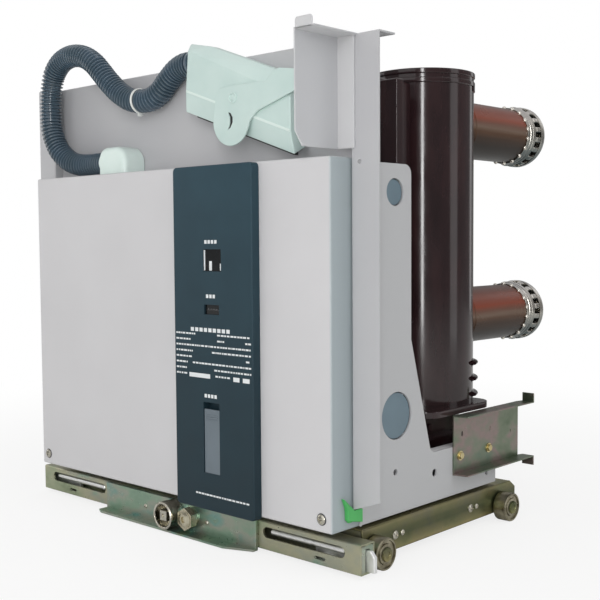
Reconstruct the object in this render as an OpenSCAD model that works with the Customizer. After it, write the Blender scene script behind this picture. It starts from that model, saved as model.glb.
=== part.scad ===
// Withdrawable vacuum circuit breaker on its racking truck, in millimetres.
// X runs to the right, Y to the rear and Z up. The origin is on the floor, under the
// middle of the whole breaker. Depths are measured back from the front cover's face.

/* [Poles and contacts] */
// Distance between the middles of neighbouring poles
pole_pitch = 210; // [196:1:214]
// Radius of a pole's round column
pole_r = 72; // [60:1:74]
// Depth of the column's axis
pole_depth = 301; // [290:1:305]
// Half the width of the web between the column and its flange
web_half = 28; // [20:1:34]
// Half the width of the flange that is bolted on the rear wall
flange_half = 77.5; // [72:0.5:79]
// Thickness of that flange
flange_t = 14.5; // [10:0.5:18]
// Height of the flange's lower end
flange_low = 282; // [276:1:300]
// Height of the flange's upper end
flange_top = 599; // [560:1:605]
// Height of the moulded skirt at the pole's foot
pole_foot = 162; // [150:1:172]
// Height of the pole's top
pole_top = 627.5; // [615:0.5:640]
// How far a moulded skirt stands out from the pole
skirt_out = 7; // [3:0.5:9]
// Height of each of the two rims round the pole's top
rim_h = 7.5; // [5:0.5:12]
// Height and depth of the groove between those rims
rim_gap = 4.5; // [2:0.5:6]
// Height of the lower arms' axis
arm_low = 284; // [275:1:295]
// Distance from the lower to the upper arms' axis
arm_spacing = 275; // [250:1:290]
// Radius of an arm's insulating sleeve
arm_r = 41.7; // [34:0.1:44]
// Depth of the end of an arm's sleeve
arm_end = 530; // [500:1:545]
// Radius of the hole in a tulip contact
tulip_bore = 24.5; // [17.5:0.5:27]
// Length of the straight wall of that hole
tulip_grip = 31; // [24:1:40]
// Thickness of the contact's wall of fingers and springs
tulip_wall = 22.5; // [18:0.5:24]

/* [Housing] */
// How far the cover's side stands out beside the axis of the outer pole
cover_side = 89.5; // [86:0.5:94]
// Height of the front cover
cover_h = 440.5; // [420:0.5:460]
// Height of the cover's lower edge above the floor
cover_low = 53.5; // [52:0.5:58]
// Depth of the front cover, back to the tall sheet behind it
cover_d = 50; // [44:1:56]
// Thickness of the folded sheet steel
sheet = 2; // [1.5:0.1:3]
// Thickness of the side plates
side_t = 3; // [2:0.5:4]
// Depth of the rear wall, where the poles are bolted on
wall_depth = 141; // [136:1:150]
// Width of the lip that is folded in along a side plate's slope
fold_w = 15; // [8:1:20]
// How far the side plates stand out behind that wall
side_lap = 13; // [8:1:20]
// Depth of the housing's foot, to the back of the side plates
foot_depth = 353; // [345:1:365]
// Height of the top of the housing's foot
foot_top = 119.5; // [115:0.5:140]
// Depth where the foot's level top begins
foot_start = 197; // [190:1:215]
// Height where the sloping edge of a side plate begins
slope_top = 272; // [250:1:300]
// Height of the top of the housing behind the tall sheet
house_top = 491; // [470:1:500]
// Radius of the round corner at the back of the housing's top
house_r = 12; // [6:1:20]
// Radius of the upper hole in a side plate
eye_r = 17; // [12:0.5:20]
// Radius of the lower hole in a side plate
port_r = 30; // [22:0.5:34]

/* [Tall sheet and plug bracket] */
// How far each wing of the tall sheet stands out beside the cover
wing_out = 43.5; // [36:0.5:50]
// Height of the tall sheet's top edge
tall_top = 635; // [620:1:645]
// How far the wings stand forward of the sheet's middle
wing_step = 15; // [8:1:20]
// Sideways gap between the cover and the step of the wings
wing_gap = 2.5; // [1.5:0.5:5]
// Height of a wing's lower edge beside the step
wing_low = 77; // [70:1:95]
// Rise of that lower edge towards the outside
wing_rise = 15; // [5:1:25]
// Width of the fold along the top of the tall sheet
top_fold = 30; // [20:1:40]
// Distance from the cover's right side in to the plug bracket
bracket_in = 16.5; // [10:0.5:21]
// How far the bracket reaches in front of the cover's face
bracket_reach = 40; // [35:1:60]
// Height of the bracket's lower edge above the cover's top
bracket_rise = 10; // [6:1:26]
// Height of the cut corner at the bracket's lower front
bracket_cut = 17; // [8:1:24]
// How far back that corner is cut
bracket_cut_in = 12; // [6:1:24]
// Width of the bracket's top flange
bracket_flange = 29; // [14:1:34]
// How far the lug on the bracket's front end stands up above the tall sheet
lug_rise = 11; // [8:1:25]

/* [Control panel] */
// Distance from the middle of the breaker to the panel's left edge
panel_left = 37; // [10:1:40]
// Width of the panel
panel_w = 147; // [140:1:180]
// Height of the panel's lower edge
panel_low = 50; // [44:1:60]
// Height of the panel
panel_h = 443; // [430:1:449]
// How far the panel stands in front of the cover
panel_t = 13; // [10:0.5:16]
// Radius of the panel's corners
panel_r = 6; // [2:0.5:12]
// Height of the position window's lower edge above the panel's
window_up = 306; // [300:1:330]
// Width of the position window
window_w = 33; // [26:1:45]
// Height of the position window
window_h = 28; // [20:1:36]
// Height of the counter's window above the panel's lower edge
counter_up = 251; // [240:1:280]
// Width of the counter's window
counter_w = 28; // [20:1:36]
// Height of the counter's window
counter_h = 12.5; // [8:0.5:16]
// Height of the hand lever's slot above the panel's lower edge
slot_up = 46; // [40:1:70]
// Width of the slot for the hand lever
slot_w = 30; // [26:1:42]
// Height of that slot
slot_h = 92; // [80:1:110]
// Open gap above the slot's flap
slot_gap = 6; // [3:0.5:12]

/* [Truck] */
// How far the truck's side channels stand out beside the cover
truck_over = 5; // [3:0.5:6]
// Height of the channels' lower edge
truck_low = 11; // [9:0.5:14]
// Height of the channels' upper edge
truck_top = 50; // [48:0.5:51]
// Depth of the channels' rear ends
truck_end = 399; // [385:1:410]
// Thickness of the truck's steel
truck_t = 3; // [2:0.5:4]
// Width of the channels' flanges
channel_lip = 25; // [18:1:26]
// Radius of a wheel
wheel_r = 20; // [18:0.5:21]
// Width of a wheel
wheel_w = 19.5; // [15:0.5:22]
// Radius of a wheel's axle
axle_r = 6; // [4:0.5:8]
// Depth of the front wheels' axles
wheel_front = 70; // [66:1:80]
// Depth of the rear wheels' axles
wheel_rear = 357; // [345:1:370]

/* [Racking beam] */
// How far the racking beam stands out beside the cover
beam_over = 26.5; // [22:0.5:30]
// Depth of the beam's front face
beam_front = 20; // [18:1:21]
// Depth of the beam itself, front to back
beam_d = 26; // [24:1:27]
// Height of the beam's lower edge
beam_low = 5; // [4:0.5:8]
// Height of the beam's upper edge
beam_top = 42; // [40:0.5:44]
// Thickness of the centre plate in front of the beam
plate_t = 5; // [3:0.5:6]
// Width of the centre plate
plate_w = 314; // [290:1:320]
// Depth of the lip along the centre plate's bottom
lip_d = 20; // [12:1:24]
// Size of the cut corners of that lip
lip_cut = 24; // [8:1:30]
// Height of the lip's underside
lip_low = 1.5; // [1:0.5:3]
// Height of the racking screw's axis
screw_z = 24; // [23:0.5:25]
// Radius of the racking screw
screw_r = 10; // [7:0.5:11]
// Outer radius of the drive sleeve
sleeve_r = 19; // [18:0.1:19.2]
// Length of the drive sleeve in front of the centre plate
sleeve_len = 24; // [16:1:30]
// Length of the racking screw behind the truck's front
screw_len = 270; // [240:1:300]
// Across flats of the square end for the crank
square_af = 14; // [10:0.5:16]
// Across flats of the interlock's hexagon
hex_af = 28; // [20:0.5:28]
// Length of the hexagon
hex_len = 12; // [8:0.5:16]
// Distance from the screw's axis to the hexagon's
hex_x = 37; // [37:0.5:50]
// Distance from the middle to a hand slot's inner end
slot_in = 166; // [162:1:180]
// Length of a hand slot in the beam
slot_len = 136; // [120:1:140]
// Height of a hand slot
slot_tall = 14; // [12:1:16]
// Radius of a latch's pull bar
pull_r = 3.5; // [2.5:0.5:4]
// How far a latch's tongue reaches in from the hand slot's outer end
tongue_back = 56; // [40:1:70]
// How far a latch's tongue stands out of the beam's end
tongue_out = 12; // [8:1:16]
// Width of a guide rail
rail_w = 20; // [12:1:22]
// Height of a guide rail
rail_h = 14; // [8:1:16]
// Length of the guide rails behind the beam
rail_len = 290; // [260:1:310]

/* [Plug and hose] */
// Outer diameter of the corrugated hose
hose_d = 33; // [20:1:33]
// Width of the gland box
gland_w = 62; // [50:1:70]
// Depth of the gland box
gland_d = 37.5; // [34:0.5:40]
// Height of the gland box
gland_h = 39; // [36:1:45]
// Thickness of the plug's body
plug_d = 33; // [33:0.5:33.5]
// Thickness of the plug's locking lever
lever_t = 4; // [2:0.5:6]
// Width of the cable tie
tie_w = 4.5; // [3:0.5:8]

/* [Hidden] */

$fn = 64;
seat = 0.3;              // clearance of a piece that only lies on its seat
run = 0.05;              // radial clearance of a running fit
slip = 0.001;            // overlap that keeps two joined shapes one solid

tulip_len = tulip_grip + 3;
tulip_r = tulip_bore + tulip_wall;
tip_depth = arm_end + 1 + tulip_len;
origin_depth = (tip_depth - bracket_reach) / 2;

cover_w = 2 * (pole_pitch + cover_side);
cover_top = cover_low + cover_h;
tall_w = cover_w + 2 * wing_out;
truck_w = cover_w + 2 * truck_over;
beam_w = cover_w + 2 * beam_over;
bracket_x = cover_w / 2 - bracket_in;
bracket_low = cover_top + bracket_rise;
lug_top = tall_top + lug_rise;
step_x = cover_w / 2 + wing_gap;
wing_depth = cover_d - wing_step;
side_x = step_x - wing_gap + 0.5;
house_front = cover_d + sheet;
house_floor = cover_low + 0.5;

axle_z = wheel_r;
hub_x = truck_w / 2 + 1.5;
beam_back = beam_front + beam_d;
truck_start = beam_back + 4;
rail_x = truck_w / 2 - truck_t - 5 - rail_w / 2;
rail_z = screw_z - 1;
plug_seat = cover_top + seat;
plug_back = cover_d - seat;
plug_front = plug_back - plug_d;

// Route of the hose: depth and height from the cover's face and top, gland to plug
hose_route = [
    [-160, 31, 18], [-182, 31, 18], [-205, 30, 18], [-228, 27, 20], [-248, 24, 27],
    [-267, 20, 43], [-280, 18, 67], [-285, 18, 91], [-285, 18, 114], [-282, 18, 137],
    [-274, 18, 158], [-257, 18, 173], [-236, 18, 179.5], [-214, 18, 179.5], [-193, 19, 174],
    [-174, 20, 163], [-159, 21.5, 149], [-145, 23, 135], [-124, 26, 117], [-102, 28, 105],
    [-81, 30, 101], [-60, 32, 101.5], [-41, 33, 109], [-24, 33, 122], [-6, 33, 134],
    [10, 33, 139.5], [24, 33, 140]];

function unit(v) = v / norm(v);
function hose_point(i) = hose_route[i] + [0, 0, cover_top];
function hose_way(i) = i == 0 || i == len(hose_route) - 1
    ? [i == 0 ? -1 : 1, 0, 0]
    : unit(hose_route[i + 1] - hose_route[i - 1]);

// Moves a shape from depths behind the cover's face to the part's own origin
module in_depth() translate([0, -origin_depth, 0]) children();

// A block between two corners
module block(low, high) translate(low) cube(high - low);

// A rod or hole along Y, from one depth to another
module rod_y(x, z, r, y0, y1) translate([x, y1, z]) rotate([90, 0, 0]) cylinder(r = r, h = y1 - y0);

// A rod or hole along X
module rod_x(y, z, r, x0, x1) translate([x0, y, z]) rotate([0, 90, 0]) cylinder(r = r, h = x1 - x0);

// A plate that stands in the YZ plane, from x0 to x1, with its outline in depth and height
module upright(x0, x1) translate([x0, 0, 0]) rotate([90, 0, 90]) linear_extrude(x1 - x0) children();

// A plate that faces the front, from depth y0 to y1, with its outline in width and height
module facing(y0, y1) translate([0, y1, 0]) rotate([90, 0, 0]) linear_extrude(y1 - y0) children();

// A rectangle with round corners
module round_rect(low, size, r) {
    translate(low + [r, 0]) square([size[0] - 2 * r, size[1]]);
    translate(low + [0, r]) square([size[0], size[1] - 2 * r]);
    for (x = [r, size[0] - r], y = [r, size[1] - r]) translate(low + [x, y]) circle(r);
}

// ---- housing ----

cover_screw_x = cover_w / 2 - 16;
cover_screw_z = cover_low + 16;

module front_cover() color([0.80, 0.80, 0.81]) in_depth() {
    difference() {
        block([-cover_w / 2, 0, cover_low], [cover_w / 2, cover_d, cover_top]);
        block([-cover_w / 2 + sheet, sheet, cover_low + sheet],
              [cover_w / 2 - sheet, cover_d + 1, cover_top - sheet]);
    }
    for (side = [-1, 1]) rod_y(side * cover_screw_x, cover_screw_z, 6, -3, slip);
}

panel_right = panel_left + panel_w;
window_in = 58.5;
counter_in = 59;
lever_in = 55.5;
window_x = panel_left + window_in;
window_z = panel_low + window_up;
counter_x = panel_left + counter_in;
counter_z = panel_low + counter_up;
slot_x = panel_left + lever_in;
slot_z = panel_low + slot_up;
pocket = 5;

module control_panel() color([0.18, 0.24, 0.30]) in_depth() difference() {
    facing(-panel_t, 0) round_rect([panel_left, panel_low], [panel_w, panel_h], panel_r);
    block([window_x, -panel_t - 1, window_z], [window_x + window_w, -panel_t + pocket, window_z + window_h]);
    block([counter_x, -panel_t - 1, counter_z],
          [counter_x + counter_w, -panel_t + pocket, counter_z + counter_h]);
    block([slot_x, -panel_t - 1, slot_z], [slot_x + slot_w, -2, slot_z + slot_h]);
}

module panel_windows() color([0.30, 0.36, 0.38]) in_depth() {
    block([window_x, -panel_t + 2, window_z], [window_x + window_w, -panel_t + pocket, window_z + window_h]);
    block([counter_x, -panel_t + 2, counter_z],
          [counter_x + counter_w, -panel_t + pocket, counter_z + counter_h]);
}

module lever_flap() color([0.62, 0.63, 0.64]) in_depth()
    block([slot_x + seat, -panel_t + 1, slot_z],
          [slot_x + slot_w - seat, -panel_t + 4, slot_z + slot_h - slot_gap]);

module tall_sheet() color([0.70, 0.70, 0.71]) in_depth() {
    difference() {
        translate([0, 0, house_floor]) linear_extrude(tall_top - house_floor) {
            translate([-step_x, cover_d]) square([2 * step_x, sheet]);
            for (side = [0, 1]) mirror([side, 0]) {
                translate([step_x, wing_depth]) square([tall_w / 2 - step_x, sheet]);
                translate([step_x, wing_depth]) square([sheet, wing_step + sheet]);
                translate([step_x - slip, cover_d]) square([sheet, sheet]);
            }
        }
        for (side = [0, 1]) mirror([side, 0, 0]) facing(wing_depth - 1, cover_d + sheet + 1)
            polygon([[step_x, 0], [tall_w, 0],
                     [tall_w, wing_low + wing_rise * (tall_w - step_x) / (tall_w / 2 - step_x)],
                     [step_x, wing_low]]);
    }
    block([-step_x, cover_d, tall_top - sheet], [step_x, wing_depth + top_fold, tall_top]);
    for (side = [0, 1]) mirror([side, 0, 0])
        block([step_x - slip, wing_depth, tall_top - sheet], [tall_w / 2, wing_depth + top_fold, tall_top]);
}

lug_r = 4;
lug_inset = 3;

module plug_bracket() color([0.66, 0.67, 0.68]) in_depth() {
    upright(bracket_x - sheet, bracket_x) polygon([
        [-bracket_reach + bracket_cut_in, bracket_low], [wing_depth, bracket_low], [wing_depth, tall_top],
        [-bracket_reach, tall_top], [-bracket_reach, bracket_low + bracket_cut]]);
    block([bracket_x - sheet, -bracket_reach, tall_top - sheet],
          [bracket_x + bracket_flange, wing_depth, tall_top]);
    block([bracket_x - sheet, wing_depth - sheet, bracket_low], [step_x + 6, wing_depth, tall_top]);
    facing(-bracket_reach, -bracket_reach + sheet) {
        lug_w = bracket_flange - lug_inset;
        translate([bracket_x, tall_top - sheet]) square([lug_w, sheet + lug_rise - lug_r]);
        round_rect([bracket_x, tall_top + slip], [lug_w, lug_rise - slip], lug_r);
    }
}

eye_at = [121, house_top - 35];
port_at = [124, 178];
bolt_holes = [[121, 107, 4], [205, 92, 5]];
side_end = wall_depth + side_lap;

module side_outline() difference() {
    union() {
        polygon([
            [house_front, house_floor], [foot_depth, house_floor], [foot_depth, foot_top],
            [foot_start, foot_top], [side_end, slope_top], [side_end, house_top - house_r],
            [side_end - house_r, house_top - house_r], [side_end - house_r, house_top],
            [house_front, house_top]]);
        translate([side_end - house_r, house_top - house_r]) circle(house_r);
    }
    translate(eye_at) circle(eye_r);
    translate(port_at) circle(port_r);
    for (hole = bolt_holes) translate([hole[0], hole[1]]) circle(hole[2]);
}

inner_x = side_x - side_t;
fold_in = inner_x - fold_w;
slope = unit([side_end - foot_start, slope_top - foot_top]);
slope_off = side_t * [-slope[1], slope[0]];

// A side plate has a lip folded in along its slope and along the top of its foot
module side_plate(side) color([0.68, 0.69, 0.70]) in_depth() mirror([side < 0 ? 1 : 0, 0, 0]) {
    upright(inner_x, side_x) side_outline();
    upright(fold_in, inner_x + slip) {
        polygon([
            [foot_depth, foot_top], [foot_start, foot_top], [side_end, slope_top],
            [side_end, slope_top] + slope_off,
            [foot_start - side_t * tan(30), foot_top - side_t], [foot_depth, foot_top - side_t]]);
    }
}

module side_discs() color([0.42, 0.48, 0.54]) in_depth() for (side = [0, 1]) mirror([side, 0, 0]) {
    rod_x(eye_at[0], eye_at[1], eye_r, side_x - side_t, side_x - 1);
    rod_x(port_at[0], port_at[1], port_r, side_x - side_t, side_x - 1);
}

module housing_top() color([0.68, 0.69, 0.70]) in_depth()
    block([-inner_x, house_front, house_top - sheet], [inner_x, wall_depth - sheet, house_top]);

module rear_wall() color([0.66, 0.67, 0.68]) in_depth()
    block([-inner_x, wall_depth - sheet, house_floor + sheet], [inner_x, wall_depth, house_top]);

shelf_z = foot_top - 10;

module pole_shelf() color([0.30, 0.30, 0.31]) in_depth() {
    block([-inner_x, wall_depth, shelf_z - sheet], [inner_x, foot_depth, shelf_z]);
    block([-inner_x, foot_depth - sheet, house_floor + sheet], [inner_x, foot_depth, shelf_z]);
}

module housing_floor() color([0.66, 0.67, 0.68]) in_depth()
    block([-inner_x, house_front, house_floor], [inner_x, foot_depth, house_floor + sheet]);

// ---- poles, arms and contacts ----

// Outline of a pole: a round column and the web that runs forward to the rear wall
module pole_outline(grow) {
    translate([0, pole_depth]) circle(pole_r + grow);
    translate([-web_half - grow, wall_depth]) square([2 * (web_half + grow), pole_depth - wall_depth]);
}

// A ring on the back of the column only, from behind its widest place
module back_ring(z, out, h) translate([0, 0, z]) linear_extrude(h) intersection() {
    translate([0, pole_depth]) circle(pole_r + out);
    translate([-pole_r - out, pole_depth + back_from]) square([2 * (pole_r + out), pole_r + out]);
}

lip_h = 9;
lip_half = side_x - pole_pitch - 1;
lip_back = 48;
lip_r = 24;
rim_out = 1.5;
back_from = 26;
skirt_h = 5;
skirt_gap = 22;
skirt_drop = 7;
boss_out = 5;
boss_more = 1.5;
stub_half = 58;
stub_in = 19;
catch_h = 6;
pole_rear = pole_depth + pole_r + boss_out;
groove_z = pole_top - rim_h - rim_gap;

module pole(x) color([0.24, 0.15, 0.14]) in_depth() translate([x, 0, 0]) {
    translate([0, 0, pole_foot]) linear_extrude(groove_z - pole_foot - rim_h) pole_outline(0);
    translate([0, pole_depth, pole_foot]) cylinder(r = pole_r, h = groove_z + rim_gap + slip - pole_foot);
    for (z = [groove_z - rim_h, groove_z + rim_gap])
        translate([0, pole_depth, z]) cylinder(r = pole_r + rim_out, h = rim_h);
    back_ring(groove_z - rim_h - catch_h, rim_out, catch_h + slip);
    block([-flange_half, wall_depth, flange_low], [flange_half, wall_depth + flange_t, flange_top]);
    translate([0, 0, pole_foot]) linear_extrude(lip_h) round_rect(
        [-lip_half, foot_start - 1], [2 * lip_half, pole_depth + lip_back - foot_start + 1], lip_r);
    for (i = [1:3]) back_ring(pole_foot - skirt_drop + i * skirt_gap, skirt_out, skirt_h);
    translate([0, 0, shelf_z]) linear_extrude(pole_foot - shelf_z + slip) {
        translate([0, pole_depth]) circle(pole_r - stub_in);
        translate([-stub_half, foot_start]) square([2 * stub_half, pole_depth - foot_start]);
    }
    for (z = [arm_low, arm_low + arm_spacing]) rod_y(0, z, arm_r + boss_more, pole_depth, pole_rear);
}

module arm(x, z) color([0.42, 0.26, 0.22]) in_depth() rod_y(x, z, arm_r, pole_rear, arm_end);

collar = 14;
collar_out = 2;
cuff_r = arm_r + seat + collar_out;
shoulder = 6;

// A tulip contact: its rear collar grips the sleeve's end, its mouth opens to the rear
module tulip(x, z) color([0.78, 0.78, 0.76]) in_depth() translate([x, arm_end, z]) rotate([-90, 0, 0])
    difference() {
        rotate_extrude() polygon([
            [tulip_bore, 1 + tulip_grip], [tulip_bore, 1], [tulip_bore - 6, 1], [tulip_bore - 6, 0],
            [arm_r + seat, 0], [arm_r + seat, -collar], [cuff_r - 1, -collar], [cuff_r, -collar + 1],
            [cuff_r, shoulder], [tulip_r, 2 * shoulder], [tulip_r, tulip_len - 3],
            [tulip_r - 3, 1 + tulip_len],
            [tulip_bore + 3, 1 + tulip_len]]);
    }

// ---- shutter brackets and corner guides ----

rail_front = 246;
rail_web_end = 410;
rail_tip = 422;
rail_flange = 22;
web_low = 81;
web_top = 162;
tab = 12;
bolt_at = [15, 85];
bolt_up = 25;

module shutter_bracket(side) color([0.60, 0.58, 0.50]) in_depth() mirror([side < 0 ? 1 : 0, 0, 0]) {
    block([side_x, rail_front, web_low], [side_x + sheet, rail_web_end, web_top]);
    for (z = [web_low, web_top - sheet])
        block([side_x, rail_front, z], [side_x + rail_flange, rail_tip, z + sheet]);
    block([side_x, rail_tip - sheet, web_top - sheet], [side_x + rail_flange, rail_tip, web_top + tab]);
    block([side_x, rail_tip - sheet, web_low - tab], [side_x + rail_flange, rail_tip, web_low + sheet]);
    for (y = bolt_at) rod_x(rail_front + y, web_low + bolt_up, 6, side_x + sheet - slip, side_x + sheet + 4);
}

guide_t = 6;
guide_tip = [16, 17];
guide_notch = [2, 2];
guide_foot = 17;
guide_heel = [23, 11];
guide_neck = [22, 4];

module corner_guides() color([0.27, 0.65, 0.36]) in_depth() for (side = [0, 1]) mirror([side, 0, 0])
    upright(cover_w / 2, cover_w / 2 + guide_t) polygon([
        [guide_tip[0], wing_low + guide_tip[1]], [wing_depth - guide_notch[0], wing_low + guide_notch[1]],
        [wing_depth, wing_low - seat], [cover_d, wing_low - seat], [cover_d, wing_low - guide_foot],
        [guide_heel[0], wing_low - guide_heel[1]], [guide_neck[0], wing_low + guide_neck[1]]]);

// ---- hose and plug ----

gland_right = hose_route[0][0] + gland_w;

module cable_gland() color([0.80, 0.88, 0.85]) in_depth() {
    block([hose_route[0][0], cover_d - seat - gland_d, plug_seat],
          [gland_right, cover_d - seat, plug_seat + gland_h - 8]);
    block([hose_route[0][0] + 8, cover_d - seat - gland_d + 4, plug_seat],
          [gland_right - 8, cover_d - seat, plug_seat + gland_h]);
}

hose_sides = 12;

function hose_ring(i) =
    let (way = hose_way(i), across = unit(cross(way, [0, 1, 0])), up = cross(across, way))
    [for (k = [0:hose_sides - 1]) let (a = 360 * k / hose_sides)
        hose_point(i) + hose_d / 2 * (cos(a) * across + sin(a) * up)];

module hose() color([0.17, 0.23, 0.28]) in_depth() {
    rings = len(hose_route);
    points = [for (i = [0:rings - 1]) each hose_ring(i)];
    walls = [for (i = [0:rings - 2], k = [0:hose_sides - 1])
        let (a = i * hose_sides, b = a + hose_sides, n = (k + 1) % hose_sides)
        [a + k, a + n, b + n, b + k]];
    start = [for (k = [hose_sides - 1:-1:0]) k];
    end = [for (k = [0:hose_sides - 1]) (rings - 1) * hose_sides + k];
    polyhedron(points, concat(walls, [start, end]));
}

tie_at = 20;

module cable_tie() color([0.92, 0.92, 0.90]) in_depth() translate(hose_point(tie_at)) rotate([0, 90, 0]) {
    translate([0, 0, -tie_w / 2]) difference() {
        cylinder(r = hose_d / 2 + 1.5, h = tie_w);
        translate([0, 0, -1]) cylinder(r = hose_d / 2, h = tie_w + 2);
    }
    translate([hose_d / 2 + 0.5, -4, -tie_w / 2]) cube([5, 6, tie_w]);
}

plug_left = hose_route[len(hose_route) - 1][0];

plug_len = 198;
ridge_y = plug_front + 7;
crown_y = plug_front + 17;
plug_face = [[8, 101], [13, 153.5], [37, 141.5], [124, 106], [plug_len, 76], [plug_len, 34]];
plug_band = [[0, 75], [2, 90], [plug_len, 20], [plug_len, 6.5]];
plug_crown = [[0, 88], [0, 166.5], [38, 158.5], [76, 144.5], [113, 131], [plug_len, 100], [plug_len, 20]];

// The plug's body: a flat face, a band that leans back above it and one that leans back to its underside
module plug_body() color([0.80, 0.88, 0.85]) in_depth() translate([plug_left, 0, plug_seat]) hull() {
    facing(plug_front, plug_front + 1) polygon(plug_face);
    facing(ridge_y, ridge_y + 1) polygon(plug_band);
    facing(crown_y, plug_back) polygon(plug_crown);
}

lobe_at = [98, 56];
lobe_r = 33;
lever_top = [
    [101, 98.5], [161, 98.5], [174, 109], [183, 111], [209, 107], [209, 81.5], [147, 63.5], [137, 57]];
lever_heel = [[69.5, 83.5], [79, 97.5]];

module plug_lever() color([0.78, 0.86, 0.83]) in_depth() translate([plug_left, 0, plug_seat])
    facing(plug_front - lever_t, plug_front) polygon(concat(
        lever_top, [for (a = [-10:-10:-180]) lobe_at + lobe_r * [cos(a), sin(a)]], lever_heel));

// ---- truck ----

channel_x = truck_w / 2;
rear_cut = [14, 10];

module truck_side(side) color([0.55, 0.55, 0.42]) in_depth() mirror([side < 0 ? 1 : 0, 0, 0]) {
    upright(channel_x - truck_t, channel_x) polygon([
        [truck_start, truck_low], [truck_end, truck_low], [truck_end, truck_top - rear_cut[1]],
        [truck_end - rear_cut[0], truck_top], [truck_start, truck_top]]);
    for (z = [truck_low, truck_top - truck_t])
        block([channel_x - channel_lip, truck_start, z], [channel_x, truck_end - rear_cut[0], z + truck_t]);
    for (y = [wheel_front, wheel_rear]) {
        rod_x(y, axle_z, axle_r, channel_x - slip, hub_x + wheel_w + 0.5);
        rod_x(y, axle_z, axle_r + 4, channel_x - slip, hub_x - 0.5);
        rod_x(y, axle_z, axle_r + 3, hub_x + wheel_w + 0.5 - slip, hub_x + wheel_w + 3);
    }
}

module truck_front() color([0.55, 0.55, 0.42]) in_depth() difference() {
    block([-channel_x + truck_t, truck_start, truck_low + truck_t],
          [channel_x - truck_t, truck_start + truck_t, truck_top - truck_t]);
    rod_y(0, screw_z, collar_r + 4, truck_start - 1, truck_start + truck_t + 1);
    for (side = [-1, 1]) translate([side * rail_x, 0, rail_z])
        block([-rail_w / 2 - seat, truck_start - 1, -rail_h / 2 - seat],
              [rail_w / 2 + seat, truck_start + truck_t + 1, rail_h / 2 + seat]);
}

module truck_rear() color([0.55, 0.55, 0.42]) in_depth()
    block([-channel_x + truck_t, truck_end - rear_cut[0] - truck_t, truck_low + truck_t],
          [channel_x - truck_t, truck_end - rear_cut[0], truck_top - truck_t]);

pad = [24, 40];

module truck_top_plate() color([0.55, 0.55, 0.42]) in_depth() {
    block([-channel_x + channel_lip, truck_start, truck_top - truck_t],
          [channel_x - channel_lip, truck_end - rear_cut[0], truck_top]);
    for (side = [0, 1], y = [house_front + 10, foot_depth - pad[1] - 10]) mirror([side, 0, 0])
        block([channel_x - channel_lip - pad[0], y, truck_top - slip],
              [channel_x - channel_lip, y + pad[1], house_floor]);
}

module wheel(side, y) color([0.42, 0.42, 0.38]) in_depth() mirror([side < 0 ? 1 : 0, 0, 0])
    translate([hub_x, y, axle_z]) rotate([0, 90, 0]) difference() {
        rotate_extrude() polygon([
            [0, 0], [wheel_r - 1.5, 0], [wheel_r, 1.5], [wheel_r, wheel_w - 1.5],
            [wheel_r - 1.5, wheel_w], [0, wheel_w]]);
        translate([0, 0, -1]) cylinder(r = axle_r + run, h = wheel_w + 2);
    }

nut_half = 22;
nut_len = 28;

module screw_nut() color([0.72, 0.58, 0.32]) in_depth() difference() {
    block([-nut_half, truck_start + truck_t, truck_low + 1],
          [nut_half, truck_start + truck_t + nut_len, truck_top - truck_t]);
    rod_y(0, screw_z, screw_r + run, truck_start, truck_start + truck_t + nut_len + 1);
}

// ---- racking beam, screw and latches ----

collar_r = screw_r + 4;
collar_end = beam_back + 3;
hand_low = screw_z + 4 - slot_tall / 2;

module racking_beam() color([0.55, 0.55, 0.40]) in_depth() difference() {
    block([-beam_w / 2, beam_front, beam_low], [beam_w / 2, beam_back, beam_top]);
    block([-beam_w, beam_front + truck_t, beam_low + truck_t],
          [beam_w, beam_back - truck_t, beam_top - truck_t]);
    for (side = [0, 1]) mirror([side, 0, 0])
        block([slot_in, beam_front - 1, hand_low],
              [slot_in + slot_len, beam_front + truck_t + 1, hand_low + slot_tall]);
    rod_y(0, screw_z, collar_r + run, beam_front - 1, beam_back + 1);
}

module guide_rail(side) color([0.60, 0.60, 0.56]) in_depth() translate([side * rail_x, 0, rail_z])
    block([-rail_w / 2, beam_back, -rail_h / 2], [rail_w / 2, beam_back + rail_len, rail_h / 2]);

plate_front = beam_front - plate_t;
lip_front = plate_front - lip_d;

module centre_plate() color([0.50, 0.56, 0.48]) in_depth() difference() {
    union() {
        block([-plate_w / 2, plate_front, lip_low], [plate_w / 2, beam_front, beam_top]);
        translate([0, 0, lip_low]) linear_extrude(truck_t) polygon([
            [-plate_w / 2, plate_front + slip], [-plate_w / 2, lip_front + lip_cut / 4],
            [-plate_w / 2 + lip_cut / 2, lip_front], [plate_w / 2 - 1.7 * lip_cut, lip_front],
            [plate_w / 2, plate_front - 0.2 * lip_d], [plate_w / 2, plate_front + slip]]);
    }
    rod_y(0, screw_z, collar_r + run, plate_front - 1, beam_front + 1);
}

sleeve_front = plate_front - sleeve_len;
hex_back = plate_front - 6;

module drive_sleeve() color([0.60, 0.60, 0.56]) in_depth() difference() {
    rod_y(0, screw_z, sleeve_r, sleeve_front, plate_front);
    rod_y(0, screw_z, sleeve_r - 2.5, sleeve_front - 1, plate_front - 2);
    rod_y(0, screw_z, collar_r + run, sleeve_front, plate_front + 1);
}

module interlock_hex() color([0.66, 0.62, 0.50]) in_depth() {
    translate([hex_x, hex_back, screw_z]) rotate([90, 0, 0])
        cylinder(r = hex_af / sqrt(3), h = hex_len, $fn = 6);
    rod_y(hex_x, screw_z, 8, hex_back - slip, plate_front);
}

screw_end = truck_start + screw_len;

module racking_screw() color([0.62, 0.62, 0.60]) in_depth() {
    block([-square_af / 2, sleeve_front + 2, screw_z - square_af / 2],
          [square_af / 2, plate_front - 2, screw_z + square_af / 2]);
    rod_y(0, screw_z, collar_r, plate_front - 2 - slip, collar_end);
    rod_y(0, screw_z, screw_r, collar_end - slip, screw_end);
}

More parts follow.
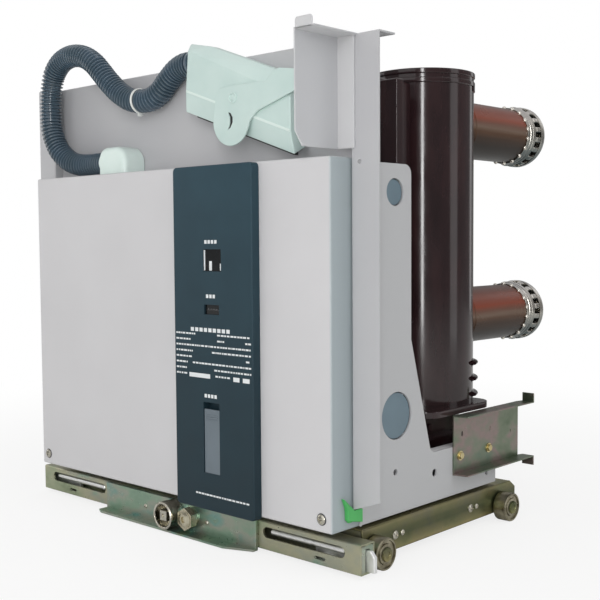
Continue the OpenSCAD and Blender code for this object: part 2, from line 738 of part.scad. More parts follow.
tongue_front = beam_front + truck_t + 1.5 + 2 * pull_r;
tongue_t = 6;
tongue_in = slot_in + slot_len - tongue_back;
pull_in = slot_in + 8;
pull_end = slot_in + slot_len - 4;

module latch(side) color([0.82, 0.82, 0.82]) in_depth() mirror([side < 0 ? 1 : 0, 0, 0]) {
    rod_x(tongue_front - pull_r, hand_low + slot_tall / 2, pull_r, pull_in, pull_end);
    block([tongue_in, tongue_front - 1, beam_low + truck_t + seat],
          [beam_w / 2 + tongue_out, tongue_front - 1 + tongue_t, hand_low + slot_tall - 1]);
}

// ---- nodes ----

low = arm_low;
high = arm_low + arm_spacing;
front_cover();
control_panel();
panel_windows();
lever_flap();
tall_sheet();
plug_bracket();
side_plate(-1);  // side_plate_left
side_plate(1);  // side_plate_right
side_discs();
housing_top();
rear_wall();
pole_shelf();
housing_floor();
pole(-pole_pitch);  // pole_left
pole(0);  // pole_middle
pole(pole_pitch);  // pole_right
arm(-pole_pitch, low);  // arm_low_left
arm(0, low);  // arm_low_middle
arm(pole_pitch, low);  // arm_low_right
arm(-pole_pitch, high);  // arm_high_left
arm(0, high);  // arm_high_middle
arm(pole_pitch, high);  // arm_high_right
tulip(-pole_pitch, low);  // tulip_low_left
tulip(0, low);  // tulip_low_middle
tulip(pole_pitch, low);  // tulip_low_right
tulip(-pole_pitch, high);  // tulip_high_left
tulip(0, high);  // tulip_high_middle
tulip(pole_pitch, high);  // tulip_high_right
shutter_bracket(-1);  // shutter_bracket_left
shutter_bracket(1);  // shutter_bracket_right
corner_guides();
cable_gland();
hose();
cable_tie();
plug_body();
plug_lever();
truck_side(-1);  // truck_side_left
truck_side(1);  // truck_side_right
truck_front();
truck_rear();
truck_top_plate();
wheel(-1, wheel_front);  // wheel_front_left
wheel(1, wheel_front);  // wheel_front_right
wheel(-1, wheel_rear);  // wheel_rear_left
wheel(1, wheel_rear);  // wheel_rear_right
screw_nut();
racking_beam();
guide_rail(-1);  // guide_rail_left
guide_rail(1);  // guide_rail_right
centre_plate();
drive_sleeve();
interlock_hex();
racking_screw();
latch(-1);  // latch_left
latch(1);  // latch_right
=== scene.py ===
import math
import random

import bpy
from mathutils import Matrix, Vector


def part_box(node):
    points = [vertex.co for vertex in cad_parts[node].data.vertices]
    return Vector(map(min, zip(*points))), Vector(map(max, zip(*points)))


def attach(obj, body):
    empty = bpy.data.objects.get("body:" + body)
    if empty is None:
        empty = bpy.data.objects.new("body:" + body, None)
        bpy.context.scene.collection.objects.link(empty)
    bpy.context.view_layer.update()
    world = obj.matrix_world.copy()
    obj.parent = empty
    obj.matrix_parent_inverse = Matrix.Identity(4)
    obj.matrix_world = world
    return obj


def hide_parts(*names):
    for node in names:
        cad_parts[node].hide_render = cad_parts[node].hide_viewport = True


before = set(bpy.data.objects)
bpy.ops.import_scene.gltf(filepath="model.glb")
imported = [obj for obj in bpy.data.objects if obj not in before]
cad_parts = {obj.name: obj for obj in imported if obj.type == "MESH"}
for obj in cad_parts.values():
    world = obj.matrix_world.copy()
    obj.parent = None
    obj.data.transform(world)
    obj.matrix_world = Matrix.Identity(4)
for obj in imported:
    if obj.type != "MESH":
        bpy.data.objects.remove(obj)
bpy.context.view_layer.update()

# Lengths below are millimetres: X to the right, depth back from the cover's face, height above the floor.
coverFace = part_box("control_panel")[1].y * 1000
ways = {"X": Vector((1, 0, 0)), "Y": Vector((0, 1, 0)), "Z": Vector((0, 0, 1))}


def spot(x, depth, height):
    return Vector((x, depth + coverFace, height)) / 1000


def span(node):
    return [Vector((v.x * 1000, v.y * 1000 - coverFace, v.z * 1000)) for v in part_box(node)]


# the camera stands in front of the breaker and to its right, near mid height

viewpoint = {
    "place": (1065.31, -877.19, 397.48),
    "turn": 42.83,      # degrees to the left of straight back
    "dip": 3.49,
    "lean": -0.40,
    "lens": 60.82,
    "shift": (-0.0009, 0.0036),
}

camera = bpy.data.objects.new("camera", bpy.data.cameras.new("camera"))
bpy.context.scene.collection.objects.link(camera)
turn, dip, lean = (math.radians(viewpoint[k]) for k in ("turn", "dip", "lean"))
forward = Vector((-math.sin(turn) * math.cos(dip), math.cos(turn) * math.cos(dip), -math.sin(dip)))
level = Vector((math.cos(turn), math.sin(turn), 0))
upright = level.cross(forward)
sideways = math.cos(lean) * level + math.sin(lean) * upright
upwards = -math.sin(lean) * level + math.cos(lean) * upright
camera.matrix_world = Matrix.Translation(spot(*viewpoint["place"])) @ Matrix(
    (sideways, upwards, -forward)).transposed().to_4x4()
camera.data.lens = viewpoint["lens"]
camera.data.sensor_width = 36
camera.data.shift_x, camera.data.shift_y = viewpoint["shift"]
camera.data.clip_start = 0.02
bpy.context.scene.camera = camera


# picking pieces, faces and edges

def clearPick():
    if bpy.context.object and bpy.context.object.mode != "OBJECT":
        bpy.ops.object.mode_set(mode="OBJECT")
    bpy.ops.object.select_all(action="DESELECT")


def take(piece):
    clearPick()
    piece.select_set(True)
    bpy.context.view_layer.objects.active = piece
    return piece


def openEdit(piece, kind="FACE"):
    take(piece)
    bpy.ops.object.mode_set(mode="EDIT")
    bpy.ops.mesh.select_mode(type=kind)


def closeEdit():
    bpy.ops.object.mode_set(mode="OBJECT")


def dropFaces(piece, test):
    # deletes the faces whose centre and direction pass the test
    openEdit(piece)
    bpy.ops.mesh.select_all(action="DESELECT")
    closeEdit()
    for face in piece.data.polygons:
        face.select = bool(test(face.center * 1000 - Vector((0, coverFace, 0)), face.normal))
    bpy.ops.object.mode_set(mode="EDIT")
    bpy.ops.mesh.delete(type="FACE")
    closeEdit()


def bevelEdges(piece, test, width, segments):
    # rounds the edges whose two ends pass the test
    openEdit(piece, "EDGE")
    bpy.ops.mesh.select_all(action="DESELECT")
    closeEdit()
    at = [v.co * 1000 - Vector((0, coverFace, 0)) for v in piece.data.vertices]
    for edge in piece.data.edges:
        edge.select = bool(test(at[edge.vertices[0]], at[edge.vertices[1]]))
    bpy.ops.object.mode_set(mode="EDIT")
    bpy.ops.mesh.bevel(offset=width / 1000, segments=segments, affect="EDGES")
    closeEdit()


def settle(piece):
    take(piece)
    bpy.ops.object.transform_apply(location=True, rotation=True, scale=True)
    return piece


def tidyNormals(piece):
    openEdit(piece)
    bpy.ops.mesh.select_all(action="SELECT")
    bpy.ops.mesh.remove_doubles(threshold=0.00001)
    bpy.ops.mesh.normals_make_consistent(inside=False)
    closeEdit()
    return piece


# shapes that the pieces start from

def block(name, low, high, bevel=0, segments=2):
    a, b = spot(*low), spot(*high)
    clearPick()
    bpy.ops.mesh.primitive_cube_add(size=1, location=(a + b) / 2, scale=b - a)
    piece = bpy.context.object
    piece.name = name
    settle(piece)
    if bevel:
        openEdit(piece, "EDGE")
        bpy.ops.mesh.select_all(action="SELECT")
        bpy.ops.mesh.bevel(offset=bevel / 1000, segments=segments, affect="EDGES")
        closeEdit()
    return piece


def chain(name, corners, closed=True):
    # a plane is merged to one point, which is then drawn out from corner to corner
    clearPick()
    bpy.ops.mesh.primitive_plane_add(size=0.01, location=corners[0])
    piece = bpy.context.object
    piece.name = name
    settle(piece)
    openEdit(piece, "VERT")
    bpy.ops.mesh.select_all(action="SELECT")
    bpy.ops.mesh.merge(type="CENTER")
    ends = corners[1:] + corners[:1] if closed else corners[1:]
    for start, end in zip(corners, ends):
        bpy.ops.mesh.extrude_vertices_move(TRANSFORM_OT_translate={"value": end - start})
    bpy.ops.mesh.select_all(action="SELECT")
    bpy.ops.mesh.remove_doubles(threshold=0.00001)
    return piece


def traced(name, corners, thick):
    piece = chain(name, corners)
    bpy.ops.mesh.edge_face_add()
    bpy.ops.mesh.extrude_region_move(TRANSFORM_OT_translate={"value": thick / 1000})
    return tidyNormals(piece)


def plan(name, outline, bottom, top):
    return traced(name, [spot(x, y, bottom) for x, y in outline], Vector((0, 0, top - bottom)))


def faceOn(name, outline, front, back):
    return traced(name, [spot(x, front, z) for x, z in outline], Vector((0, back - front, 0)))


def sideOn(name, outline, left, right):
    return traced(name, [spot(left, y, z) for y, z in outline], Vector((right - left, 0, 0)))


def arc(x, y, r, start, end, count):
    angles = [math.radians(start + (end - start) * i / count) for i in range(count + 1)]
    return [(x + r * math.cos(a), y + r * math.sin(a)) for a in angles]


def roundRect(x0, z0, x1, z1, r, count=5):
    return (arc(x1 - r, z1 - r, r, 0, 90, count) + arc(x0 + r, z1 - r, r, 90, 180, count)
            + arc(x0 + r, z0 + r, r, 180, 270, count) + arc(x1 - r, z0 + r, r, 270, 360, count))


def turned(name, centre, axis, profile, steps=48, closed=False):
    # the profile is a list of places along the axis, each with its radius
    out = ways["X"] if axis == "Z" else ways["Z"]
    points = [spot(*centre) + (ways[axis] * along + out * radius) / 1000 for along, radius in profile]
    piece = chain(name, points, closed)
    bpy.ops.mesh.spin(steps=steps, angle=math.tau, center=spot(*centre), axis=ways[axis])
    return tidyNormals(piece)


def rod(name, centre, axis, radius, length, sides=32):
    # a plain round cutter or pin, from its centre along its axis
    return turned(name, centre, axis, [(0, 0), (0, radius), (length, radius), (length, 0)], sides)


# joining, copying and finishing shapes

def joined(name, pieces):
    take(pieces[0])
    for piece in pieces[1:]:
        piece.select_set(True)
    if len(pieces) > 1:
        bpy.ops.object.join()
    pieces[0].name = name
    return pieces[0]


def copied(piece, name, shift=(0, 0, 0)):
    take(piece)
    bpy.ops.object.duplicate(linked=False)
    twin = bpy.context.object
    twin.name = name
    twin.location = Vector(shift) / 1000
    return settle(twin)


def mirrored(piece, name):
    take(piece)
    bpy.ops.object.duplicate(linked=False)
    twin = bpy.context.object
    twin.name = name
    twin.scale.x = -1
    return tidyNormals(settle(twin))


def change(piece, kind, **settings):
    take(piece)
    modifier = piece.modifiers.new(kind.lower(), kind)
    for key, value in settings.items():
        setattr(modifier, key, value)
    bpy.ops.object.modifier_apply(modifier=modifier.name)
    return piece


def softened(piece, width, segments=2, angle=40):
    return change(piece, "BEVEL", width=width / 1000, segments=segments,
                  limit_method="ANGLE", angle_limit=math.radians(angle))


def drilled(piece, *cutters):
    for cutter in cutters:
        change(piece, "BOOLEAN", operation="DIFFERENCE", solver="EXACT", object=cutter)
        bpy.data.objects.remove(cutter)
    return piece


# screws and bolts

def hexHead(name, centre, axis, flats, height, washer=0):
    # a hexagon head whose outer corners are rounded off, on its washer
    clearPick()
    half = height / 2000
    turns = {"X": (0, math.pi / 2, 0), "Y": (math.pi / 2, 0, 0), "Z": (0, 0, 0)}[axis]
    bpy.ops.mesh.primitive_cylinder_add(vertices=6, radius=flats / 1732.05, depth=2 * abs(half),
                                        location=spot(*centre) + ways[axis] * half, rotation=turns)
    head = settle(bpy.context.object)
    head.name = name
    softened(head, min(0.6, abs(height) / 5), 2, 30)
    if not washer:
        return head
    thin = 1.2 if height > 0 else -1.2
    ring = turned(name, centre, axis, [(0, 0), (0, washer), (thin, washer), (thin, 0)], 32)
    return joined(name, [head, ring])


def roundHead(name, centre, axis, radius, height):
    # a domed screw head with a driver's cross
    dome = [(0, 0), (0, radius), (0.35 * height, radius), (0.75 * height, 0.8 * radius),
            (0.97 * height, 0.45 * radius), (height, 0)]
    head = turned(name, centre, axis, dome, 32)
    x, y, z = centre
    deep, arm, thin = height * 0.55, radius * 0.55, radius * 0.12
    for wide, tall in ((arm, thin), (thin, arm)):
        reach = {"X": ((x + deep, y - wide, z - tall), (x + 2 * height, y + wide, z + tall)),
                 "Y": ((x - wide, y + deep, z - tall), (x + wide, y + 2 * height, z + tall)),
                 "Z": ((x - wide, y - tall, z + deep), (x + wide, y + tall, z + 2 * height))}[axis]
        low = [min(p) for p in zip(*reach)]
        high = [max(p) for p in zip(*reach)]
        drilled(head, block("cross", low, high))
    return head


# finishes

def tint(code):
    # sRGB hex to the linear colour that the shader wants
    parts = [int(code[i:i + 2], 16) / 255 for i in (0, 2, 4)]
    return [c / 12.92 if c <= 0.04045 else ((c + 0.055) / 1.055) ** 2.4 for c in parts] + [1.0]


def addNode(owner, kind, inputs=None, stops=None, **settings):
    # adds a node to a material or a world, with its settings, its values or links, and its colour stops
    node = owner.node_tree.nodes.new(kind)
    for key, value in settings.items():
        setattr(node, key, value)
    for key, value in (inputs or {}).items():
        if isinstance(value, bpy.types.NodeSocket):
            owner.node_tree.links.new(value, node.inputs[key])
        else:
            node.inputs[key].default_value = value
    if stops:
        strip = node.color_ramp
        while len(strip.elements) < len(stops):
            strip.elements.new(0.5)
        for element, (where, code) in zip(strip.elements, stops):
            element.position = where
            element.color = tint(code)
    return node


def newFinish(name):
    material = bpy.data.materials.new(name)
    material.use_nodes = True
    shader = material.node_tree.nodes["Principled BSDF"]
    place = addNode(material, "ShaderNodeTexCoord").outputs["Object"]
    return material, shader, place


def patches(material, place, size, detail=3.0, stretch=(1, 1, 1), rough=0.5):
    # a cloudy pattern whose patches have a size in millimetres
    spread = addNode(material, "ShaderNodeMapping", {"Vector": place, "Scale": stretch})
    return addNode(material, "ShaderNodeTexNoise", {
        "Vector": spread.outputs["Vector"], "Scale": 1000 / size,
        "Detail": detail, "Roughness": rough}).outputs["Fac"]


def facing(material, axis):
    # how far the surface looks along an axis, from -1 to 1
    normal = addNode(material, "ShaderNodeNewGeometry").outputs["Normal"]
    return addNode(material, "ShaderNodeSeparateXYZ", {0: normal}).outputs[axis]


def byHeight(material, place, colour, stops):
    # tones a colour by the height above the floor, which the stops give in millimetres
    height = addNode(material, "ShaderNodeSeparateXYZ", {0: place}).outputs["Z"]
    low, high = stops[0][0], stops[-1][0]
    part = addNode(material, "ShaderNodeMapRange", {
        "Value": height, "From Min": low / 1000, "From Max": high / 1000}).outputs["Result"]
    tone = addNode(material, "ShaderNodeValToRGB", {"Fac": part},
                   [((z - low) / (high - low), code) for z, code in stops]).outputs["Color"]
    return addNode(material, "ShaderNodeMix", {0: 1.0, 6: colour, 7: tone},
                   data_type="RGBA", blend_type="MULTIPLY").outputs[2]


def setShader(material, shader, **values):
    names = {"colour": "Base Color", "rough": "Roughness", "bump": "Normal", "metal": "Metallic",
             "ior": "IOR", "coat": "Coat Weight", "coatRough": "Coat Roughness",
             "specular": "Specular IOR Level"}
    for key, value in values.items():
        socket = shader.inputs[names[key]]
        if isinstance(value, bpy.types.NodeSocket):
            material.node_tree.links.new(value, socket)
        else:
            socket.default_value = value


def surface(material, shader, colour, wear, rough, relief=None, strength=0.5, **values):
    # a colour, a roughness that drifts between two values with the wear, and a relief in millimetres
    shine = addNode(material, "ShaderNodeMapRange", {
        "Value": wear, "From Min": 0.25, "From Max": 0.75, "To Min": rough[0], "To Max": rough[1]})
    setShader(material, shader, colour=colour, rough=shine.outputs["Result"], **values)
    if relief:
        height, depth = relief
        bump = addNode(material, "ShaderNodeBump", {
            "Height": height, "Distance": depth / 1000, "Strength": strength})
        setShader(material, shader, bump=bump.outputs["Normal"])
    return material


def powderCoat(name, pale, dark, rough, side=None):
    # polyester powder coat on folded steel: even, satin, with a fine orange peel that breaks up reflections
    material, shader, place = newFinish(name)
    patch = patches(material, place, 120, 2)
    peel = patches(material, place, 2.2, 2)
    colour = addNode(material, "ShaderNodeValToRGB", {"Fac": patch},
                     [(0.3, dark), (0.7, pale)]).outputs["Color"]
    if side:
        # painted shade: faces that look to the left or right are mixed towards the darker side tone
        paintedSideShade = addNode(material, "ShaderNodeMath", {0: facing(material, "X")},
                       operation="ABSOLUTE").outputs[0]
        colour = addNode(material, "ShaderNodeMix", {0: paintedSideShade, 6: colour, 7: tint(side)},
                         data_type="RGBA").outputs[2]
    return surface(material, shader, colour, patch, (rough - 0.04, rough + 0.05), (peel, 0.05), ior=1.5)


def moulded(name, pale, dark, rough, grain=1.2, relief=0.03, coat=0.0, ior=1.5, heights=None):
    # moulded plastic: nearly even colour, a slight grain from the mould, and soft broad highlights
    material, shader, place = newFinish(name)
    cloud = patches(material, place, 40, 3)
    skin = patches(material, place, grain, 2)
    colour = addNode(material, "ShaderNodeValToRGB", {"Fac": cloud},
                     [(0.3, dark), (0.7, pale)]).outputs["Color"]
    # given heights paint light and shade into the colour, by the height above the floor
    if heights:
        colour = byHeight(material, place, colour, heights)
    return surface(material, shader, colour, cloud, (rough - 0.05, rough + 0.05), (skin, relief),
                   ior=ior, coat=coat, coatRough=0.15)


def castEpoxy(name, stops, rough, streaks):
    # cast epoxy resin: deep brown, a hard gloss from a polished mould, faint flow marks along the casting
    material, shader, place = newFinish(name)
    flow = patches(material, place, 30, 5, streaks)
    haze = patches(material, place, 45, 3)
    wave = patches(material, place, 60, 1)
    colour = addNode(material, "ShaderNodeValToRGB", {"Fac": flow}, stops).outputs["Color"]
    return surface(material, shader, colour, haze, (rough - 0.04, rough + 0.05), (wave, 0.2), 0.4, ior=1.5)


def paintedShadeSleeve(name, stops, rough, metal=0.0, ior=1.5):
    # a round part with painted light and shade: its tone goes from a lit top, over darker sides, to a dark
    # underside, by which way each face looks, with a random drift along it
    material, shader, place = newFinish(name)
    flow = patches(material, place, 30, 4, (1.6, 0.12, 1.6))
    haze = patches(material, place, 45, 3)
    drift = addNode(material, "ShaderNodeMath", {0: flow, 1: 0.16, 2: 0.42}, operation="MULTIPLY_ADD")
    level = addNode(material, "ShaderNodeMath", {0: facing(material, "Z"), 1: 0.5, 2: drift.outputs[0]},
                    operation="MULTIPLY_ADD")
    colour = addNode(material, "ShaderNodeValToRGB", {"Fac": level.outputs[0]}, stops).outputs["Color"]
    return surface(material, shader, colour, haze, (rough - 0.04, rough + 0.05),
                   ior=ior, metal=metal, specular=0.5 if metal else 0.25)


def passivated(name, codes, rough=0.36, metal=0.85, grain=70, heights=None):
    # zinc plate with a chromate film: patches of olive, straw, pink and green drift over a soft metal sheen
    material, shader, place = newFinish(name)
    drift = patches(material, place, grain, 3, (1, 1, 1.6), 0.55)
    fine = patches(material, place, 6, 4)
    rolled = patches(material, place, 3, 2, (0.08, 1, 1))
    stops = [(0.28 + 0.44 * i / (len(codes) - 1), code) for i, code in enumerate(codes)]
    colour = addNode(material, "ShaderNodeValToRGB", {"Fac": drift}, stops).outputs["Color"]
    # given heights paint light and shade into the colour, by the height above the floor
    if heights:
        colour = byHeight(material, place, colour, heights)
    return surface(material, shader, colour, fine, (rough - 0.08, rough + 0.1), (rolled, 0.03), metal=metal)


def plainMetal(name, pale, dark, rough, grain=2.0, relief=0.02):
    # plated or turned metal: bright, with fine tool marks and slight clouding
    material, shader, place = newFinish(name)
    cloud = patches(material, place, 12, 3)
    marks = patches(material, place, grain, 2)
    colour = addNode(material, "ShaderNodeValToRGB", {"Fac": cloud},
                     [(0.3, dark), (0.7, pale)]).outputs["Color"]
    return surface(material, shader, colour, cloud, (rough - 0.06, rough + 0.08), (marks, relief), metal=1.0)


finishes = {
    # the side tones of the cover's, sheet's and bracket's coats are painted shade on their faces turned to
    # the sides
    "coverCoat": powderCoat("powderCoatLight", "CFCED0", "CBCACC", 0.5, "A2ACB0"),
    "sheetCoat": powderCoat("powderCoatGrey", "BCBCBE", "B8B8BB", 0.48, "B4B5B7"),
    "bracketCoat": powderCoat("powderCoatBracket", "CECECF", "CACACC", 0.45, "BBBCBF"),
    # a paler copy of the sheet's coat for the lips: painted light on their top faces
    "paintedLightLipCoat": powderCoat("powderCoatLipPaintedLight", "EDECED", "E6E5E7", 0.45),
    "shadeCoat": powderCoat("powderCoatShade", "4A4A4C", "434345", 0.55),
    "discPlastic": moulded("polypropyleneBlueGrey", "687C87", "627580", 0.42),
    # the panel's plastic darkens towards the bottom: painted shade
    "panelPlastic": moulded("absSlate", "2F4A56", "2A4450", 0.5, 1.6, 0.05, 0.0, 1.36,
                            [(50, "A9AEAE"), (200, "BFC2C2"), (490, "F2F2F2")]),
    "ruleInk": moulded("screenInkWhite", "E6E9EA", "DEE2E4", 0.5),
    "paneGlass": moulded("smokedAcrylic", "0B0E11", "090B0E", 0.16, 4, 0.0, 0.2),
    "flapPlastic": moulded("absGrey", "6B767E", "657078", 0.5),
    "poleEpoxy": castEpoxy("castEpoxyDark", [(0.3, "211416"), (0.5, "28191B"), (0.72, "322021")],
                           0.12, (1, 1, 0.25)),
    # the arms: painted shade underneath, a painted highlight band along their middle, red-brown above
    "armEpoxy": paintedShadeSleeve("castEpoxyRed", [
        (0.0, "1C1712"), (0.2, "241C16"), (0.34, "3A2A20"), (0.44, "553F31"), (0.51, "6E5C50"),
        (0.58, "684B40"), (0.69, "7E3F2E"), (0.88, "6E3E32"), (1.0, "4C3C36")], 0.3, 0.0, 1.36),
    # the contacts: painted shade underneath, pale above
    "silverPlate": paintedShadeSleeve("silverPlatedCopper", [
        (0.0, "3E4A4A"), (0.25, "69706F"), (0.45, "A8A69F"), (0.6, "B9B4AC"), (1.0, "C2BFBD")], 0.26, 1.0),
    "silverDot": plainMetal("silverPlatedEnds", "EAE6DE", "C8C2B8", 0.28),
    "zincYellow": passivated("zincYellowPassivated", ["6C7358", "84896C", "97957E", "8C8C80", "6F8F80"]),
    # the channel's tone by height is painted light: highlights on its bottom and top flanges, painted shade
    # across the middle of its web
    "zincChannel": passivated(
        "zincChannelPassivated", ["8A8F6E", "A0A285", "AFAA8C", "A5A294", "86A08E"], 0.34,
        heights=[(11, "F0E8C8"), (19, "C0BEA8"), (29, "8A9282"), (36, "8F9684"), (45, "B8B8A4"),
                 (50, "E0DCC8")]),
    "zincBeam": passivated("zincBeamPassivated", ["8F9A7E", "A4AC90", "B1AF96", "A6A898", "8BAA98"], 0.34),
    "zincGreen": passivated("zincGreenPassivated", ["7F9686", "8FA894", "A3A79A", "7FA39A", "8C9A80"], 0.32),
    "zincPink": passivated("zincPinkPassivated", ["66745F", "7B8472", "948380", "7D8676", "657A6B"], 0.34),
    "zincClear": plainMetal("zincClearPlated", "CFCBBF", "A9A598", 0.26),
    "brassBolt": plainMetal("brassPlatedSteel", "E2D5A8", "BBAA7A", 0.28),
    "nickelPlate": plainMetal("nickelPlatedSteel", "D9D3BE", "AFA78E", 0.26),
    "wheelSteel": plainMetal("turnedSteelOiled", "ABA590", "77715F", 0.3),
    "nutBronze": plainMetal("machinedBronze", "B8935A", "967342", 0.34),
    "latchChrome": plainMetal("brightChrome", "FAFAFA", "ECECEC", 0.4),
    "greenNylon": moulded("greenNylon", "4DB45F", "3FA352", 0.4, 1.0, 0.03, 0.1, 1.53),
    "mintPale": moulded("mintPolycarbonatePale", "E2F0EB", "DAEAE4", 0.34, 2.0, 0.02, 0.15, 1.58),
    "mintPlastic": moulded("mintPolycarbonate", "CCDFDA", "C5DAD5", 0.34, 2.0, 0.02, 0.15, 1.58),
    "hoseNylon": moulded("corrugatedNylonSlate", "4C5E6D", "43545F", 0.24, 1.5, 0.03, 0.5, 1.53),
    "tieNylon": moulded("naturalNylon", "E9EBE8", "E0E3E0", 0.4, 1.0, 0.02, 0.0, 1.53),
    # a matte black for the sheets that stand for painted shadow
    "paintedShadowBlack": moulded("paintedShadowMatteBlack", "2A2A2B", "232324", 0.6),
}
print("finishes made", len(finishes))


def done(piece, finish, body="breaker", nodes=(), smooth=35):
    # smooths and coats a finished piece, hangs it on the body that it rides on, and hides the frame's nodes
    # that it stands in for
    take(piece)
    bpy.ops.object.shade_smooth_by_angle(angle=math.radians(smooth))
    change(piece, "WEIGHTED_NORMAL", keep_sharp=True)
    piece.data.materials.clear()
    piece.data.materials.append(finishes[finish])
    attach(piece, body)
    if nodes:
        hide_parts(*nodes)
    return piece


def coatNodes(finish, *nodes):
    # gives a finish to nodes of the frame that are shown as they are
    for node in nodes:
        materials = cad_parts[node].data.materials
        materials.clear()
        materials.append(finishes[finish])


# the hose with its tie, its gland and its plug

hoseLook = {
    "diameter": 33,
    "ridge": 5.6,       # from one ridge to the next
    "valley": 3.2,      # depth of the groove between two ridges
    "sides": 28,
    "tieAt": 20,
    "tieWidth": 3.6,
}
# x, depth and height above the cover's top, from the gland to the plug
hoseRoute = [
    (-160, 31, 18), (-182, 31, 18), (-205, 30, 18), (-228, 27, 20), (-248, 24, 27),
    (-267, 20, 43), (-280, 18, 67), (-285, 18, 91), (-285, 18, 114), (-282, 18, 137),
    (-274, 18, 158), (-257, 18, 173), (-236, 18, 179.5), (-214, 18, 179.5), (-193, 19, 174),
    (-174, 20, 163), (-159, 21.5, 149), (-145, 23, 135), (-124, 26, 117), (-102, 28, 105),
    (-81, 30, 101), (-60, 32, 101.5), (-41, 33, 109), (-24, 33, 122), (-6, 33, 134),
    (10, 33, 139.5), (24, 33, 140)]
coverTop = span("front_cover")[1].z


def evenRoute(points, step):
    # a smooth curve through the points, cut into equal steps
    curve = []
    ends = [2 * points[0] - points[1]] + points + [2 * points[-1] - points[-2]]
    for a, b, c, d in zip(ends, ends[1:], ends[2:], ends[3:]):
        for i in range(24):
            t = i / 24
            curve.append(0.5 * (2 * b + (c - a) * t + (2 * a - 5 * b + 4 * c - d) * t * t
                                + (3 * b - a - 3 * c + d) * t ** 3))
    curve.append(points[-1])
    lengths = [0]
    for a, b in zip(curve, curve[1:]):
        lengths.append(lengths[-1] + (b - a).length)
    count = round(lengths[-1] / step)
    route, at = [], 0
    for i in range(count + 1):
        want = lengths[-1] * i / count
        while at < len(lengths) - 2 and lengths[at + 1] < want:
            at += 1
        part = (want - lengths[at]) / (lengths[at + 1] - lengths[at])
        route.append(curve[at].lerp(curve[at + 1], part))
    return route, lengths[-1]


def hoseTube(name, route):
    # a corrugated tube along the route, with four rings of corners to each ridge
    rings = []
    radius, valley, sides = hoseLook["diameter"] / 2000, hoseLook["valley"] / 1000, hoseLook["sides"]
    phases = [0, 0, 1, 1]           # two rings on a ridge, two in its valley
    side = ways["Y"]
    for i, point in enumerate(route):
        way = (route[min(i + 1, len(route) - 1)] - route[max(i - 1, 0)]).normalized()
        side = (side - way * side.dot(way)).normalized()
        top = way.cross(side)
        r = radius - valley * phases[i % 4]
        for k in range(sides):
            a = math.tau * k / sides
            rings.append(point + r * (math.cos(a) * side + math.sin(a) * top))
    last = (len(route) - 1) * sides
    faces = []
    for start in range(0, last, sides):
        for k in range(sides):
            beside = (k + 1) % sides
            faces.append((start + k, start + beside, start + sides + beside, start + sides + k))
    faces += [tuple(range(sides - 1, -1, -1)), tuple(range(last, last + sides))]
    mesh = bpy.data.meshes.new(name)
    mesh.from_pydata(rings, [], faces)
    tube = bpy.data.objects.new(name, mesh)
    bpy.context.scene.collection.objects.link(tube)
    return tidyNormals(tube)


routePoints = [spot(x, y, z + coverTop) for x, y, z in hoseRoute]
route, hoseLength = evenRoute(routePoints, hoseLook["ridge"] / 4000)
hose = done(hoseTube("hoseCorrugated", route), "hoseNylon", nodes=["hose"], smooth=60)

tieX, tieDepth, tieZ = hoseRoute[hoseLook["tieAt"]]
tieHalf, tieInner = hoseLook["tieWidth"] / 2, hoseLook["diameter"] / 2
band = turned("tieBand", (tieX, tieDepth, tieZ + coverTop), "X", [
    (-tieHalf, tieInner - 0.2), (-tieHalf, tieInner + 0.9), (-tieHalf + 0.5, tieInner + 1.3),
    (tieHalf - 0.5, tieInner + 1.3), (tieHalf, tieInner + 0.9), (tieHalf, tieInner - 0.2)], 64, True)
tieLow = tieZ + coverTop - tieInner
tieHead = block("tieHead", (tieX - tieHalf, tieDepth - 4, tieLow - 5),
                (tieX + tieHalf, tieDepth + 2, tieLow), 0.8)
tieTail = block("tieTail", (tieX - 1.6, tieDepth - 4.6, tieLow - 3.6),
                (tieX + 1.6, tieDepth + 4, tieLow - 2.4), 0.4)
tie = done(joined("cableTie", [band, tieHead, tieTail]), "tieNylon",
           nodes=["cable_tie"])

glandLook = {"round": 24, "roundLeft": 17, "front": 8, "edge": 1.5, "collar": 18.5}
low, high = span("cable_gland")
r, left = glandLook["round"], glandLook["roundLeft"]
gland = faceOn("gland", [(low.x, low.z), (high.x, low.z)] + arc(high.x - r, high.z - r, r, 0, 90, 12)
               + arc(low.x + left, high.z - left, left, 90, 180, 10), low.y, high.y)
bevelEdges(gland, lambda a, b: max(a.y, b.y) < low.y + 0.5 and max(a.z, b.z) > low.z + 0.5,
           glandLook["front"], 6)
softened(gland, glandLook["edge"], 3, 50)
exitX, exitDepth, exitZ = hoseRoute[0]
collar = turned("glandCollar", (exitX, exitDepth, exitZ + coverTop), "X", [
    (14, 0), (14, glandLook["collar"]), (3, glandLook["collar"]), (1, glandLook["collar"] - 1), (1, 0)], 40)
gland = done(joined("cableGland", [gland, collar]), "mintPale",
             nodes=["cable_gland"])

plugLook = {"edge": 1.5, "ridge": 7, "crown": 17, "paintedShadow": 4.5, "paintedShadowDepth": 41}
# outlines of the plug's face, of its lower band's edge and of its back, from its left end and its seat
plugFace = [(8, 101), (13, 153.5), (37, 141.5), (124, 106), (198, 76), (198, 34)]
plugBand = [(0, 75), (2, 90), (198, 20), (198, 6.5)]
plugBack = [(0, 88), (0, 166.5), (38, 158.5), (76, 144.5), (113, 131), (198, 100), (198, 20)]


def hullOf(name, layers):
    # one convex shell round outlines that stand at several depths
    corners = [spot(x, depth, z) for depth, outline in layers for x, z in outline]
    mesh = bpy.data.meshes.new(name)
    mesh.from_pydata(corners, [], [])
    shell = bpy.data.objects.new(name, mesh)
    bpy.context.scene.collection.objects.link(shell)
    openEdit(shell, "VERT")
    bpy.ops.mesh.select_all(action="SELECT")
    bpy.ops.mesh.convex_hull()
    bpy.ops.mesh.dissolve_limited(angle_limit=math.radians(1))
    closeEdit()
    return tidyNormals(shell)


